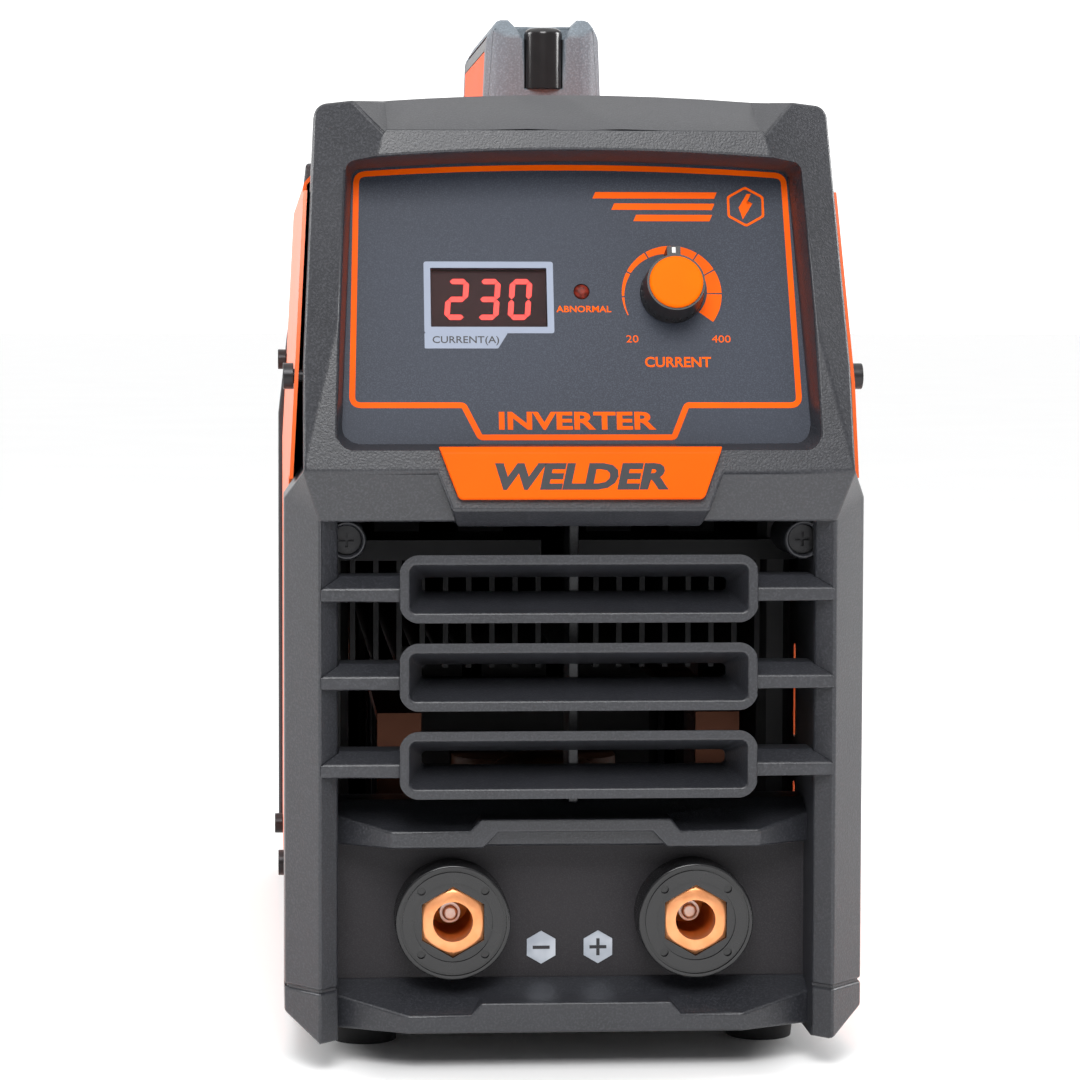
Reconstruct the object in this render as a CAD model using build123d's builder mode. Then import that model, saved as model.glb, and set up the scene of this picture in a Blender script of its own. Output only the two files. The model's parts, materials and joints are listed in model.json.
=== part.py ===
"""Stick welding inverter: a suitcase-sized arc welding power source.

Millimetres, +Z up, front facing -Y. The origin is the middle of the footprint, on the floor.
Depths (d) are counted backwards from the front faces of the louvre rings, the front datum.
"""
from build123d import *
from math import cos, radians, sin, sqrt, tan
import os

os.makedirs("parts", exist_ok=True)

# ---------------------------------------------------------------- driving dimensions
PROUD = 7.5                # badge plate ahead of the front datum
DEPTH = 424.0              # badge plate to the end of the cable gland
FRONT = PROUD - DEPTH / 2  # Y of the front datum

FOOT_HEIGHT = 12.0
FOOT_R = 12.3
FOOT_X = 67.0
FOOT_DEPTHS = (58.0, 344.0)
FEET = [(side * FOOT_X, FRONT + d) for d in FOOT_DEPTHS for side in (-1, 1)]

BEZEL_BOTTOM = 10.0
PILLAR_HALF_WIDTH = 94.0
PILLAR_DEPTH = 42.0
RIDGE_X, RIDGE_D = 82.7, 2.5        # the pillar's front edge
INNER_X, INNER_D = 76.8, 8.5        # where its inner strip meets the vent
GROOVE_Z = 26.5

VISOR_BACK = 52.0
VISOR_LOW_Z = 177.8                 # underside of the visor
VISOR_WIDE_X, VISOR_WIDE_Z = 87.9, 194.2
VISOR_WIDE_D = -3.0
VISOR_TOP_X, VISOR_TOP_Z = 83.9, 311.5
ARCH_TOP_Z = 316.0
ARCH_R = 850.0
FACE_LEAN = 12.15                   # degrees the visor's face leans back
FACET_TURN = 25.0                   # degrees its side facets turn outwards
FACET_X, FACET_Z = 77.0, 239.4      # where the facet crease reaches the recess
BROW_Z = 303.7                      # front edge of the sloping top
TOP_SLOPE = 26.8                    # degrees
MITRE_LOW_X, MITRE_TOP_X = 60.5, 77.0   # where each end of the sloping top turns up to the corner

PANEL_LEAN = 17.5                   # degrees the control panel leans back
PANEL_D, PANEL_Z = 12.7, 215.0      # a point on the panel's face
PANEL_THICK = 2.0
RECESS_DRAFT = 10.0
RECESS_LOW_Z, RECESS_HIGH_Z = 200.7, 296.8

KNOB_X, KNOB_Z = 32.0, 250.6
DISPLAY_X, DISPLAY_Z = -27.6, 249.3
LAMP_X, LAMP_Z = 2.6, 251.2

RING_PITCH = 28.2
RING_TOP_Z = 167.4                  # top of the highest louvre ring
RING_HALF_WIDTH, RING_HEIGHT, RING_WALL = 57.5, 21.8, 3.2
RING_DEPTH = 20.0
RING_SLOT = 4.5
BOSSES = [(-73.9, 171.2), (73.9, 171.2)]   # screw bosses in the vent's top corners

SOCKET_X, SOCKET_Z = 39.5, 47.3
SOCKET_FRONT_D = 12.0
SOCKET_FLANGE_R = 18.7
SOCKET_BORE_R = 6.5                 # takes a 13 mm cable plug
SOCKET_PANEL_D = 26.0

SHEET = 1.2
COVER_HALF_WIDTH = 92.3
COVER_TOP_Z = 295.0
COVER_SHOULDER_X, COVER_SHOULDER_Z = 87.3, 287.0
COVER_LEAN_Z = 190.0
COVER_BOTTOM_Z = 13.8
COVER_FRONT_D, COVER_BACK_D = 15.0, 384.0

BACK_D = 402.0                      # rear face of the rear bezel
REAR_START_D = 378.0
FAN_Z = 100.0
FAN_SIZE, FAN_THICK = 120.0, 32.0

SCREW_TOP = (23.3, 223.8)           # depth and height of the cover screws
SCREW_LOW = (54.0, 60.3)
SCREW_BACK_TOP = (368.0, 223.8)
SCREW_BACK_LOW = (368.0, 24.0)
COVER_SCREWS = [SCREW_TOP, SCREW_LOW, SCREW_BACK_TOP, SCREW_BACK_LOW]

HANDLE_FRONT_D, HANDLE_BACK_D = 140.0, 280.0
POST_LENGTH = 26.0
HANDLE_BOLT_X = 11.0
HANDLE_BOLT_DS = (HANDLE_FRONT_D + POST_LENGTH / 2, HANDLE_BACK_D - POST_LENGTH / 2)
HANDLE_BOLTS = [(side * HANDLE_BOLT_X, FRONT + d) for d in HANDLE_BOLT_DS for side in (-1, 1)]
HANDLE_HALF_WIDTH = 20.4
HANDLE_TOP_Z = 349.5

FACE_TAN = tan(radians(FACE_LEAN))
PANEL_TAN = tan(radians(PANEL_LEAN))
SLOPE_TAN = tan(radians(TOP_SLOPE))


# ---------------------------------------------------------------- planes and small helpers
def front_plane(depth, x=0.0, z=0.0):
    """Upright plane facing the front, at a depth behind the datum; extrude by a minus to go back."""
    return Plane((x, FRONT + depth, z), x_dir=(1, 0, 0), z_dir=(0, -1, 0))


def side_plane(x=0.0):
    """Upright plane facing +X; sketches on it use (Y, Z)."""
    return Plane((x, 0, 0), x_dir=(0, 1, 0), z_dir=(1, 0, 0))


def face_depth(z):
    """Depth of the visor's leaning face at a height."""
    return VISOR_WIDE_D + (z - VISOR_WIDE_Z) * FACE_TAN


def panel_depth(z):
    """Depth of the control panel's face at a height."""
    return PANEL_D + (z - PANEL_Z) * PANEL_TAN


def panel_plane(x, z, out=0.0):
    """Plane on the control panel's face, normal outwards, raised by out."""
    lean = radians(PANEL_LEAN)
    normal = Vector(0, -cos(lean), sin(lean))
    origin = Vector(x, FRONT + panel_depth(z), z) + normal * out
    return Plane(origin, x_dir=(1, 0, 0), z_dir=normal)


def arch_z(x, crown):
    """Height of the arch of radius ARCH_R at x, for a crown height."""
    return crown - (ARCH_R - sqrt(ARCH_R**2 - x**2))


def shape(*points):
    """Straight-sided closed face through the points, in the open sketch."""
    Polygon(*points, align=None)


def side_profile(*points):
    """The same, for (depth, height) points in a sketch on side_plane."""
    shape(*[(FRONT + d, z) for d, z in points])


def trim(a, b, c, inside):
    """Cut the open part with the plane through three points and keep the side of the inside point."""
    a, b, c, inside = (Vector(x, FRONT + d, z) for x, d, z in (a, b, c, inside))
    normal = (b - a).cross(c - a)
    if normal.dot(inside - a) > 0:
        normal = -normal
    split(bisect_by=Plane(a, x_dir=(b - a), z_dir=normal), keep=Keep.BOTTOM)


def save(part, name):
    """Label a finished piece and write its file."""
    part.label = name
    export_step(part, f"parts/{name}.step")


# ---------------------------------------------------------------- front bezel
CLEAR_ABOVE_Z = 360.0               # higher than anything that is cut away

with BuildPart() as visor:
    # arched block, wider at the bottom
    with BuildSketch(front_plane(-12)):
        with BuildLine():
            Polyline(
                (VISOR_TOP_X, arch_z(VISOR_TOP_X, ARCH_TOP_Z)),
                (VISOR_WIDE_X, 227),
                (VISOR_WIDE_X, VISOR_WIDE_Z),
                (RIDGE_X, VISOR_LOW_Z),
                (-RIDGE_X, VISOR_LOW_Z),
                (-VISOR_WIDE_X, VISOR_WIDE_Z),
                (-VISOR_WIDE_X, 227),
                (-VISOR_TOP_X, arch_z(VISOR_TOP_X, ARCH_TOP_Z)),
            )
            ThreePointArc(
                (-VISOR_TOP_X, arch_z(VISOR_TOP_X, ARCH_TOP_Z)),
                (0, ARCH_TOP_Z),
                (VISOR_TOP_X, arch_z(VISOR_TOP_X, ARCH_TOP_Z)),
            )
        make_face()
    extrude(amount=-(VISOR_BACK + 12))
    top_corners = visor.edges().filter_by(Axis.Y).sort_by(Axis.Z)[-2:]
    fillet(top_corners, radius=4.5)
    # leaning face, turned-out side facets, sloping top, undercut chamfer
    inside = (0, 40, 230)
    trim((0, face_depth(200), 200), (50, face_depth(200), 200), (0, face_depth(300), 300), inside)
    for side in (-1, 1):
        facet_d = face_depth(FACET_Z)
        turn = radians(FACET_TURN)
        run_x = VISOR_WIDE_X - FACET_X
        run_d = VISOR_WIDE_D - facet_d
        run_z = VISOR_WIDE_Z - FACET_Z
        facet_rise = (run_x * sin(turn) - run_d * cos(turn)) / -run_z
        third_d = facet_d + (10 * sin(turn) + 20 * facet_rise) / cos(turn)
        trim(
            (side * FACET_X, facet_d, FACET_Z),
            (side * VISOR_WIDE_X, VISOR_WIDE_D, VISOR_WIDE_Z),
            (side * (FACET_X + 10), third_d, FACET_Z + 20),
            inside,
        )
    with BuildSketch(front_plane(face_depth(BROW_Z))):
        mitre_low_z = arch_z(MITRE_LOW_X, BROW_Z)
        mitre_rise = (arch_z(MITRE_TOP_X, ARCH_TOP_Z) - mitre_low_z) / (MITRE_TOP_X - MITRE_LOW_X)
        above_x = MITRE_LOW_X + (CLEAR_ABOVE_Z - mitre_low_z) / mitre_rise
        with BuildLine():
            Polyline(
                (MITRE_LOW_X, mitre_low_z),
                (above_x, CLEAR_ABOVE_Z),
                (-above_x, CLEAR_ABOVE_Z),
                (-MITRE_LOW_X, mitre_low_z),
            )
            ThreePointArc((-MITRE_LOW_X, mitre_low_z), (0, BROW_Z), (MITRE_LOW_X, mitre_low_z))
        make_face()
    extrude(amount=60, dir=(0, 1, SLOPE_TAN), mode=Mode.SUBTRACT)
    trim(
        (0, VISOR_WIDE_D, VISOR_WIDE_Z),
        (50, VISOR_WIDE_D, VISOR_WIDE_Z),
        (0, RIDGE_D, VISOR_LOW_Z),
        inside,
    )

with BuildPart() as badge_pad:
    # stands under the badge plate and carries the face on downwards
    with BuildSketch(front_plane(-12)):
        shape((-46.6, 196), (46.6, 196), (41.0, 181.9), (39.0, 176.3), (-39.0, 176.3), (-41.0, 181.9))
    extrude(amount=-24)
    inside = (0, 8, 185)
    trim((0, face_depth(200), 200), (50, face_depth(200), 200), (0, face_depth(180), 180), inside)
    trim((0, face_depth(181.9), 181.9), (50, face_depth(181.9), 181.9), (0, 2.5, 176.3), inside)

WIDE = (VISOR_WIDE_X, VISOR_WIDE_D, VISOR_WIDE_Z)
LOW = (RIDGE_X, RIDGE_D, VISOR_LOW_Z)
SHOULDER = (PILLAR_HALF_WIDTH, 15, 185)

with BuildPart() as flare:
    # overhanging facet that carries the visor out to the pillar's width
    with BuildSketch(Plane.XY.offset(VISOR_LOW_Z)):
        shape(
            (INNER_X, FRONT - 4),
            (PILLAR_HALF_WIDTH, FRONT - 4),
            (PILLAR_HALF_WIDTH, FRONT + PILLAR_DEPTH),
            (INNER_X, FRONT + PILLAR_DEPTH),
        )
    extrude(amount=VISOR_WIDE_Z - VISOR_LOW_Z)
    inside = (80, 40, 183)
    trim(WIDE, LOW, SHOULDER, inside)
    trim(WIDE, SHOULDER, (PILLAR_HALF_WIDTH, 40, 185), inside)
    trim(WIDE, LOW, (RIDGE_X - 10, RIDGE_D, VISOR_LOW_Z), inside)

with BuildPart() as pillar_top:
    # end of the outer facet, under the flare
    with BuildSketch(Plane.XY.offset(170)):
        shape(
            (RIDGE_X, FRONT + RIDGE_D),
            (PILLAR_HALF_WIDTH, FRONT + 15),
            (PILLAR_HALF_WIDTH, FRONT + PILLAR_DEPTH),
            (RIDGE_X, FRONT + PILLAR_DEPTH),
        )
    extrude(amount=15)
    trim(LOW, SHOULDER, (RIDGE_X, 40, VISOR_LOW_Z), (90, 30, 172))

with BuildPart() as pillar:
    # right-hand pillar: outer facet, ridge, inner strip
    with BuildSketch(Plane.XY.offset(BEZEL_BOTTOM)):
        shape(
            (INNER_X, FRONT + INNER_D),
            (RIDGE_X, FRONT + RIDGE_D),
            (PILLAR_HALF_WIDTH, FRONT + 15),
            (PILLAR_HALF_WIDTH, FRONT + PILLAR_DEPTH),
            (INNER_X, FRONT + PILLAR_DEPTH),
        )
    extrude(amount=VISOR_LOW_Z - BEZEL_BOTTOM)
    add(pillar_top.part)
    add(flare.part)
    inside = (85, 30, 100)
    # sloping foot of the corner block
    trim((PILLAR_HALF_WIDTH, 15, 18.5), (PILLAR_HALF_WIDTH, 40, 18.5), (RIDGE_X, 15, BEZEL_BOTTOM), inside)
    # seam above the corner block
    with BuildSketch(Plane.XY.offset(GROOVE_Z)):
        shape(
            (INNER_X - 1, FRONT - 2),
            (PILLAR_HALF_WIDTH + 1, FRONT - 2),
            (PILLAR_HALF_WIDTH + 1, FRONT + PILLAR_DEPTH + 1),
            (PILLAR_HALF_WIDTH - 0.8, FRONT + PILLAR_DEPTH + 1),
            (PILLAR_HALF_WIDTH - 0.8, FRONT + 15.3),
            (RIDGE_X, FRONT + RIDGE_D + 1.1),
            (INNER_X - 1, FRONT + INNER_D + 1.9),
        )
    extrude(amount=0.9, mode=Mode.SUBTRACT)
    # hollow back
    with BuildSketch(front_plane(PILLAR_DEPTH)):
        shape((80, 32), (90.8, 32), (90.8, 172), (80, 172))
    extrude(amount=21, mode=Mode.SUBTRACT)

with BuildPart() as upper_lip:
    # shelf under the vent, with a raised middle
    with BuildSketch(side_plane()):
        side_profile(
            (10, 71.8),
            (10, 77.3),
            (30, 85),
            (PILLAR_DEPTH, 85),
            (PILLAR_DEPTH, 78.5),
            (26, 78.5),
            (26, 71.8),
        )
    extrude(amount=INNER_X, both=True)
    with BuildSketch(front_plane(10)):
        shape((-34.3, 77.3), (34.3, 77.3), (30.9, 81.2), (-30.9, 81.2))
    extrude(amount=-12)
    with BuildSketch(front_plane(9)):
        shape((-25, 76.9), (25, 76.9), (29.8, 71.7), (-29.8, 71.7))
    extrude(amount=-5, mode=Mode.SUBTRACT)
    for side in (-1, 1):
        trim((side * 59.6, 10, 70), (side * 59.6, 10, 90), (side * 76.8, 20, 70), (0, 30, 80))

with BuildPart() as bumper:
    # bar under the sockets, with a raised middle
    with BuildSketch(side_plane()):
        side_profile(
            (5.8, 12.4),
            (5.8, 18.2),
            (26, 27),
            (26, 21.5),
            (PILLAR_DEPTH, 21.5),
            (PILLAR_DEPTH, 12.4),
        )
    extrude(amount=INNER_X, both=True)
    with BuildSketch(front_plane(5.8)):
        shape((-34.2, 18.2), (34.2, 18.2), (30.7, 22.3), (-30.7, 22.3))
    extrude(amount=-12)
    for side in (-1, 1):
        trim((side * 54.2, 5.8, 10), (side * 54.2, 5.8, 30), (side * 76.8, 17, 10), (0, 30, 20))

with BuildPart() as front_bezel:
    add(visor.part)
    add(badge_pad.part)
    # recess for the control panel, with drafted walls
    for depth in (-8.0, 60.0):
        draft = tan(radians(RECESS_DRAFT))
        low_half = 77.3 + (-0.7 - depth) * draft
        high_half = 74.6 + (18.7 - depth) * draft
        low_z = RECESS_LOW_Z - (-1.6 - depth) * draft
        high_z = RECESS_HIGH_Z + (19.1 - depth) * draft
        with BuildSketch(front_plane(depth)) as opening:
            with BuildLine():
                Polyline(
                    (high_half, arch_z(high_half, high_z)),
                    (low_half, low_z),
                    (-low_half, low_z),
                    (-high_half, arch_z(high_half, high_z)),
                )
                ThreePointArc(
                    (-high_half, arch_z(high_half, high_z)),
                    (0, high_z),
                    (high_half, arch_z(high_half, high_z)),
                )
            make_face()
            fillet(opening.vertices().sort_by(Axis.Y)[:2], radius=5.6)
            fillet(opening.vertices().sort_by(Axis.Y)[-2:], radius=3.0)
    loft(ruled=True, mode=Mode.SUBTRACT)
    # room behind the control panel
    with BuildSketch(panel_plane(0, PANEL_Z)):
        shape((-80, -17), (80, -17), (80, 88), (-80, 88))
    extrude(amount=70, dir=(0, 1, 0), mode=Mode.SUBTRACT)
    with BuildSketch(front_plane(14)):
        shape((-80, 181.5), (80, 181.5), (80, 199), (-80, 199))
    extrude(amount=-60, mode=Mode.SUBTRACT)
    for lip in (pillar.part, upper_lip.part, bumper.part):
        add(lip)
    mirror(pillar.part, about=Plane.YZ)
    # rear rib that the cover's top butts against, and holes for the upper cover screws
    with BuildSketch(front_plane(VISOR_BACK - 4)):
        shape((-81, 286), (81, 286), (79, 303), (-79, 303))
    extrude(amount=-4)
    with BuildSketch(side_plane(-100)):
        with Locations((FRONT + SCREW_TOP[0], SCREW_TOP[1])):
            Circle(2.5)
    extrude(amount=200, mode=Mode.SUBTRACT)
    # screw bosses in the top corners of the vent
    with BuildSketch(front_plane(12)):
        with Locations(*BOSSES):
            Circle(6.3)
    extrude(amount=-(PILLAR_DEPTH - 12))
    with BuildSketch(front_plane(12)):
        with Locations(*BOSSES):
            Circle(4.9)
    extrude(amount=-6, mode=Mode.SUBTRACT)
    with BuildSketch(front_plane(12)):
        with Locations(*BOSSES):
            Circle(2.6)
    extrude(amount=-(PILLAR_DEPTH - 10), mode=Mode.SUBTRACT)
save(front_bezel.part, "front_bezel")

# ---------------------------------------------------------------- louvre grille
RING_ZS = [RING_TOP_Z - RING_HEIGHT / 2 - RING_PITCH * row for row in range(3)]

with BuildPart() as louvre_grille:
    for ring_z in RING_ZS:
        # hollow ring, narrowing behind
        with BuildSketch(front_plane(0, z=ring_z)):
            RectangleRounded(2 * RING_HALF_WIDTH, RING_HEIGHT, 6.5)
        with BuildSketch(front_plane(RING_DEPTH, z=ring_z)):
            RectangleRounded(2 * RING_HALF_WIDTH - 6, RING_HEIGHT - 5, 5.5)
        loft(ruled=True)
        # side bars with a sloping top
        bar_z = ring_z - 2.2
        with BuildSketch(side_plane(-RIDGE_X)):
            side_profile(
                (RIDGE_D, bar_z - 2.1),
                (RIDGE_D, bar_z + 2.1),
                (9, bar_z + 5.9),
                (RING_DEPTH, bar_z + 5.9),
                (RING_DEPTH, bar_z - 2.1),
            )
        extrude(amount=2 * RIDGE_X)
    for ring_z in RING_ZS:
        # each ring funnels back to a narrow slot
        with BuildSketch(front_plane(0, z=ring_z)):
            RectangleRounded(2 * (RING_HALF_WIDTH - RING_WALL), RING_HEIGHT - 2 * RING_WALL, 2.2)
        with BuildSketch(front_plane(RING_DEPTH - 2, z=ring_z)):
            RectangleRounded(2 * (RING_HALF_WIDTH - 8), RING_SLOT, 1.6)
        loft(ruled=True, mode=Mode.SUBTRACT)
        with BuildSketch(front_plane(RING_DEPTH - 2.5, z=ring_z)):
            RectangleRounded(2 * (RING_HALF_WIDTH - 8), RING_SLOT, 1.6)
        extrude(amount=-6, mode=Mode.SUBTRACT)
    # upright rib behind the rings
    with BuildSketch(Plane.XY.offset(85)):
        with Locations((0, FRONT + RING_DEPTH - 0.5)):
            Rectangle(3.2, 18.5, align=(Align.CENTER, Align.MIN))
    extrude(amount=VISOR_LOW_Z - 85)
    add(front_bezel.part, mode=Mode.SUBTRACT)
save(louvre_grille.part, "louvre_grille")

# ---------------------------------------------------------------- socket panel and sockets
with BuildPart() as socket_panel:
    with BuildSketch(front_plane(SOCKET_PANEL_D)):
        shape((-INNER_X, 21.5), (INNER_X, 21.5), (INNER_X, 78.5), (-INNER_X, 78.5))
        with Locations((-SOCKET_X, SOCKET_Z), (SOCKET_X, SOCKET_Z)):
            Circle(15.5, mode=Mode.SUBTRACT)
    extrude(amount=-2.5)
save(socket_panel.part, "socket_panel")

HEX_FLATS = 20.0
INSERT_FRONT_D = 13.4
INSERT_HEX_END_D = 30.0
INSERT_BACK_D = 64.0
BORE_END_D = 28.0
RELIEF_END_D = 50.0
PIN_TIP_D = 28.5
HOUSING_BACK_D = 52.0

for side, sign in (("negative", -1), ("positive", 1)):
    centre = (sign * SOCKET_X, SOCKET_Z)
    with BuildPart() as socket_housing:
        with BuildSketch(front_plane(SOCKET_FRONT_D, *centre)):
            Circle(SOCKET_FLANGE_R)
        extrude(amount=-(SOCKET_PANEL_D - SOCKET_FRONT_D))
        with BuildSketch(front_plane(SOCKET_PANEL_D, *centre)):
            Circle(15.3)
        extrude(amount=-(HOUSING_BACK_D - SOCKET_PANEL_D))
        # groove inside the rim, and a low step round the hexagon
        with BuildSketch(front_plane(SOCKET_FRONT_D, *centre)):
            Circle(SOCKET_FLANGE_R - 1.3)
            Circle(SOCKET_FLANGE_R - 2.3, mode=Mode.SUBTRACT)
        extrude(amount=-0.8, mode=Mode.SUBTRACT)
        with BuildSketch(front_plane(SOCKET_FRONT_D, *centre)):
            Circle(12.9)
        extrude(amount=-0.7, mode=Mode.SUBTRACT)
        with BuildSketch(front_plane(SOCKET_FRONT_D, *centre)):
            with PolarLocations(14.6, 4, start_angle=45):
                Circle(1.4)
        extrude(amount=-1.2, mode=Mode.SUBTRACT)
        with BuildSketch(front_plane(SOCKET_FRONT_D, *centre)):
            RegularPolygon(HEX_FLATS / 2 + 0.1, 6, major_radius=False, rotation=30)
        extrude(amount=-(INSERT_HEX_END_D - SOCKET_FRONT_D), mode=Mode.SUBTRACT)
        with BuildSketch(front_plane(SOCKET_FRONT_D, *centre)):
            Circle(9.1)
        extrude(amount=-60, mode=Mode.SUBTRACT)
        rim = socket_housing.edges().filter_by(GeomType.CIRCLE).sort_by(Axis.Y)
        outer_rim = [edge for edge in rim if abs(edge.radius - SOCKET_FLANGE_R) < 0.01][0]
        fillet(outer_rim, radius=0.7)
    save(socket_housing.part, f"{side}_socket_housing")

    with BuildPart() as socket_insert:
        with BuildSketch(front_plane(INSERT_FRONT_D, *centre)):
            RegularPolygon(HEX_FLATS / 2, 6, major_radius=False, rotation=30)
        extrude(amount=-(INSERT_HEX_END_D - INSERT_FRONT_D))
        with BuildSketch(front_plane(INSERT_HEX_END_D, *centre)):
            Circle(9.0)
        extrude(amount=-(INSERT_BACK_D - INSERT_HEX_END_D))
        # rounded nose on the hexagon
        with BuildSketch(front_plane(INSERT_FRONT_D, *centre)):
            RegularPolygon(HEX_FLATS, 6, major_radius=False, rotation=30)
            Circle(HEX_FLATS / 2 - 0.4, mode=Mode.SUBTRACT)
        extrude(amount=-4, taper=60, mode=Mode.SUBTRACT)
        # bore for the cable plug, with a wider relief behind it
        with BuildSketch(front_plane(INSERT_FRONT_D, *centre)):
            Circle(SOCKET_BORE_R)
        extrude(amount=-(BORE_END_D - INSERT_FRONT_D), mode=Mode.SUBTRACT)
        with BuildSketch(front_plane(BORE_END_D, *centre)):
            Circle(SOCKET_BORE_R + 0.8)
        extrude(amount=-(RELIEF_END_D - BORE_END_D), mode=Mode.SUBTRACT)
        # tapped hole for the cable bolt
        with BuildSketch(front_plane(INSERT_BACK_D, *centre)):
            Circle(4.0)
        extrude(amount=8, mode=Mode.SUBTRACT)
    save(socket_insert.part, f"{side}_socket_insert")

    with BuildPart() as socket_pin:
        with BuildSketch(front_plane(PIN_TIP_D + 2, *centre)):
            Circle(3.4)
        extrude(amount=-(RELIEF_END_D - PIN_TIP_D - 2))
        with BuildSketch(front_plane(PIN_TIP_D + 2, *centre)):
            Circle(2.5)
        extrude(amount=2)
        fillet(socket_pin.edges().filter_by(GeomType.CIRCLE).sort_by(Axis.Y)[0], radius=1.0)
    save(socket_pin.part, f"{side}_socket_pin")

    with BuildPart() as socket_bolt:
        with BuildSketch(front_plane(INSERT_BACK_D + 3, *centre)):
            RegularPolygon(6.5, 6, major_radius=False)
        extrude(amount=-5.3)
        with BuildSketch(front_plane(INSERT_BACK_D + 3, *centre)):
            Circle(3.95)
        extrude(amount=10)
    save(socket_bolt.part, f"{side}_socket_bolt")

with BuildPart() as polarity_labels:
    with BuildSketch(front_plane(SOCKET_PANEL_D)):
        with Locations((-9.8, 36.4), (8.9, 36.4)):
            RegularPolygon(4.7, 6, major_radius=False, rotation=30)
    extrude(amount=0.4)
save(polarity_labels.part, "polarity_labels")

# ---------------------------------------------------------------- control panel group
BOARD_BACK = 12.0          # control board's face behind the panel's face
SHAFT_R = 3.0
KNOB_HOLE_R = 4.5
LAMP_R = 2.5

with BuildPart() as control_panel:
    with BuildSketch(panel_plane(0, PANEL_Z)):
        shape((-79.8, -16.2), (79.8, -16.2), (79.8, 87.6), (-79.8, 87.6))
    extrude(amount=-PANEL_THICK)
    with BuildSketch(panel_plane(KNOB_X, KNOB_Z)):
        Circle(KNOB_HOLE_R)
    extrude(amount=-PANEL_THICK, mode=Mode.SUBTRACT)
    with BuildSketch(panel_plane(LAMP_X, LAMP_Z)):
        Circle(LAMP_R + 0.15)
    extrude(amount=-PANEL_THICK, mode=Mode.SUBTRACT)
    with BuildSketch(panel_plane(DISPLAY_X, DISPLAY_Z)):
        Rectangle(37.8, 20.0)
    extrude(amount=-PANEL_THICK, mode=Mode.SUBTRACT)
save(control_panel.part, "control_panel")

with BuildPart() as display_window:
    with BuildSketch(panel_plane(DISPLAY_X, DISPLAY_Z, out=-0.5)):
        Rectangle(37.6, 19.8)
    extrude(amount=-1.4)
save(display_window.part, "display_window")

with BuildPart() as display_module:
    with BuildSketch(panel_plane(DISPLAY_X, DISPLAY_Z, out=-2.3)):
        Rectangle(37.7, 19.0)
    extrude(amount=-(BOARD_BACK - 2.3))
save(display_module.part, "display_module")

with BuildPart() as fault_lamp:
    with BuildSketch(panel_plane(LAMP_X, LAMP_Z, out=1.0)):
        Circle(LAMP_R)
    extrude(amount=-9)
    with BuildSketch(panel_plane(LAMP_X, LAMP_Z, out=-PANEL_THICK - 0.1)):
        Circle(LAMP_R + 0.5)
    extrude(amount=-1.5)
    fillet(fault_lamp.edges().filter_by(GeomType.CIRCLE).sort_by(Axis.Y)[0], radius=1.6)
save(fault_lamp.part, "fault_lamp")

with BuildPart() as control_board:
    with BuildSketch(panel_plane(0, PANEL_Z, out=-BOARD_BACK)):
        shape((-62, 12), (62, 12), (62, 64), (-62, 64))
    extrude(amount=-1.6)
save(control_board.part, "control_board")

with BuildPart() as potentiometer:
    with BuildSketch(panel_plane(KNOB_X, KNOB_Z, out=-BOARD_BACK)):
        Circle(8.5)
    extrude(amount=8.5)
    with BuildSketch(panel_plane(KNOB_X, KNOB_Z, out=-BOARD_BACK)):
        Circle(3.9)
    extrude(amount=11)
    with BuildSketch(panel_plane(KNOB_X, KNOB_Z, out=-BOARD_BACK + 2)):
        Circle(SHAFT_R + 0.05)
    extrude(amount=20, mode=Mode.SUBTRACT)
save(potentiometer.part, "potentiometer")

with BuildPart() as knob_shaft:
    with BuildSketch(panel_plane(KNOB_X, KNOB_Z, out=-BOARD_BACK + 2.3)):
        Circle(SHAFT_R)
    extrude(amount=18.7)
save(knob_shaft.part, "knob_shaft")

KNOB_CLEARANCE = 0.8
KNOB_LENGTH = 12.2
KNOB_CAP_R = 8.7
with BuildPart() as knob_skirt:
    # fluted body with a wider pointer collar at its foot
    with BuildSketch(panel_plane(KNOB_X, KNOB_Z, out=KNOB_CLEARANCE)):
        Circle(10.4)
    with BuildSketch(panel_plane(KNOB_X, KNOB_Z, out=KNOB_LENGTH)):
        Circle(9.4)
    loft(ruled=True)
    with BuildSketch(panel_plane(KNOB_X, KNOB_Z, out=KNOB_CLEARANCE + 2.2)):
        with PolarLocations(10.7, 28):
            Circle(0.75)
    extrude(amount=KNOB_LENGTH, mode=Mode.SUBTRACT)
    with BuildSketch(panel_plane(KNOB_X, KNOB_Z, out=KNOB_CLEARANCE)):
        with Locations((0, 10.9)):
            Rectangle(4.4, 4.8)
    extrude(amount=8.0)
    with BuildSketch(panel_plane(KNOB_X, KNOB_Z, out=KNOB_LENGTH)):
        Circle(KNOB_CAP_R + 0.02)
    extrude(amount=-3, mode=Mode.SUBTRACT)
    with BuildSketch(panel_plane(KNOB_X, KNOB_Z)):
        Circle(SHAFT_R + 0.02)
    extrude(amount=KNOB_LENGTH - 3, mode=Mode.SUBTRACT)
    with BuildSketch(panel_plane(KNOB_X, KNOB_Z)):
        Circle(6.0)
    extrude(amount=4.0, mode=Mode.SUBTRACT)
save(knob_skirt.part, "knob_skirt")

with BuildPart() as knob_cap:
    with BuildSketch(panel_plane(KNOB_X, KNOB_Z, out=KNOB_LENGTH - 3)):
        Circle(KNOB_CAP_R)
    extrude(amount=4.2)
    fillet(knob_cap.edges().filter_by(GeomType.CIRCLE).sort_by(Axis.Y)[0], radius=1.0)
save(knob_cap.part, "knob_cap")

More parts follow.
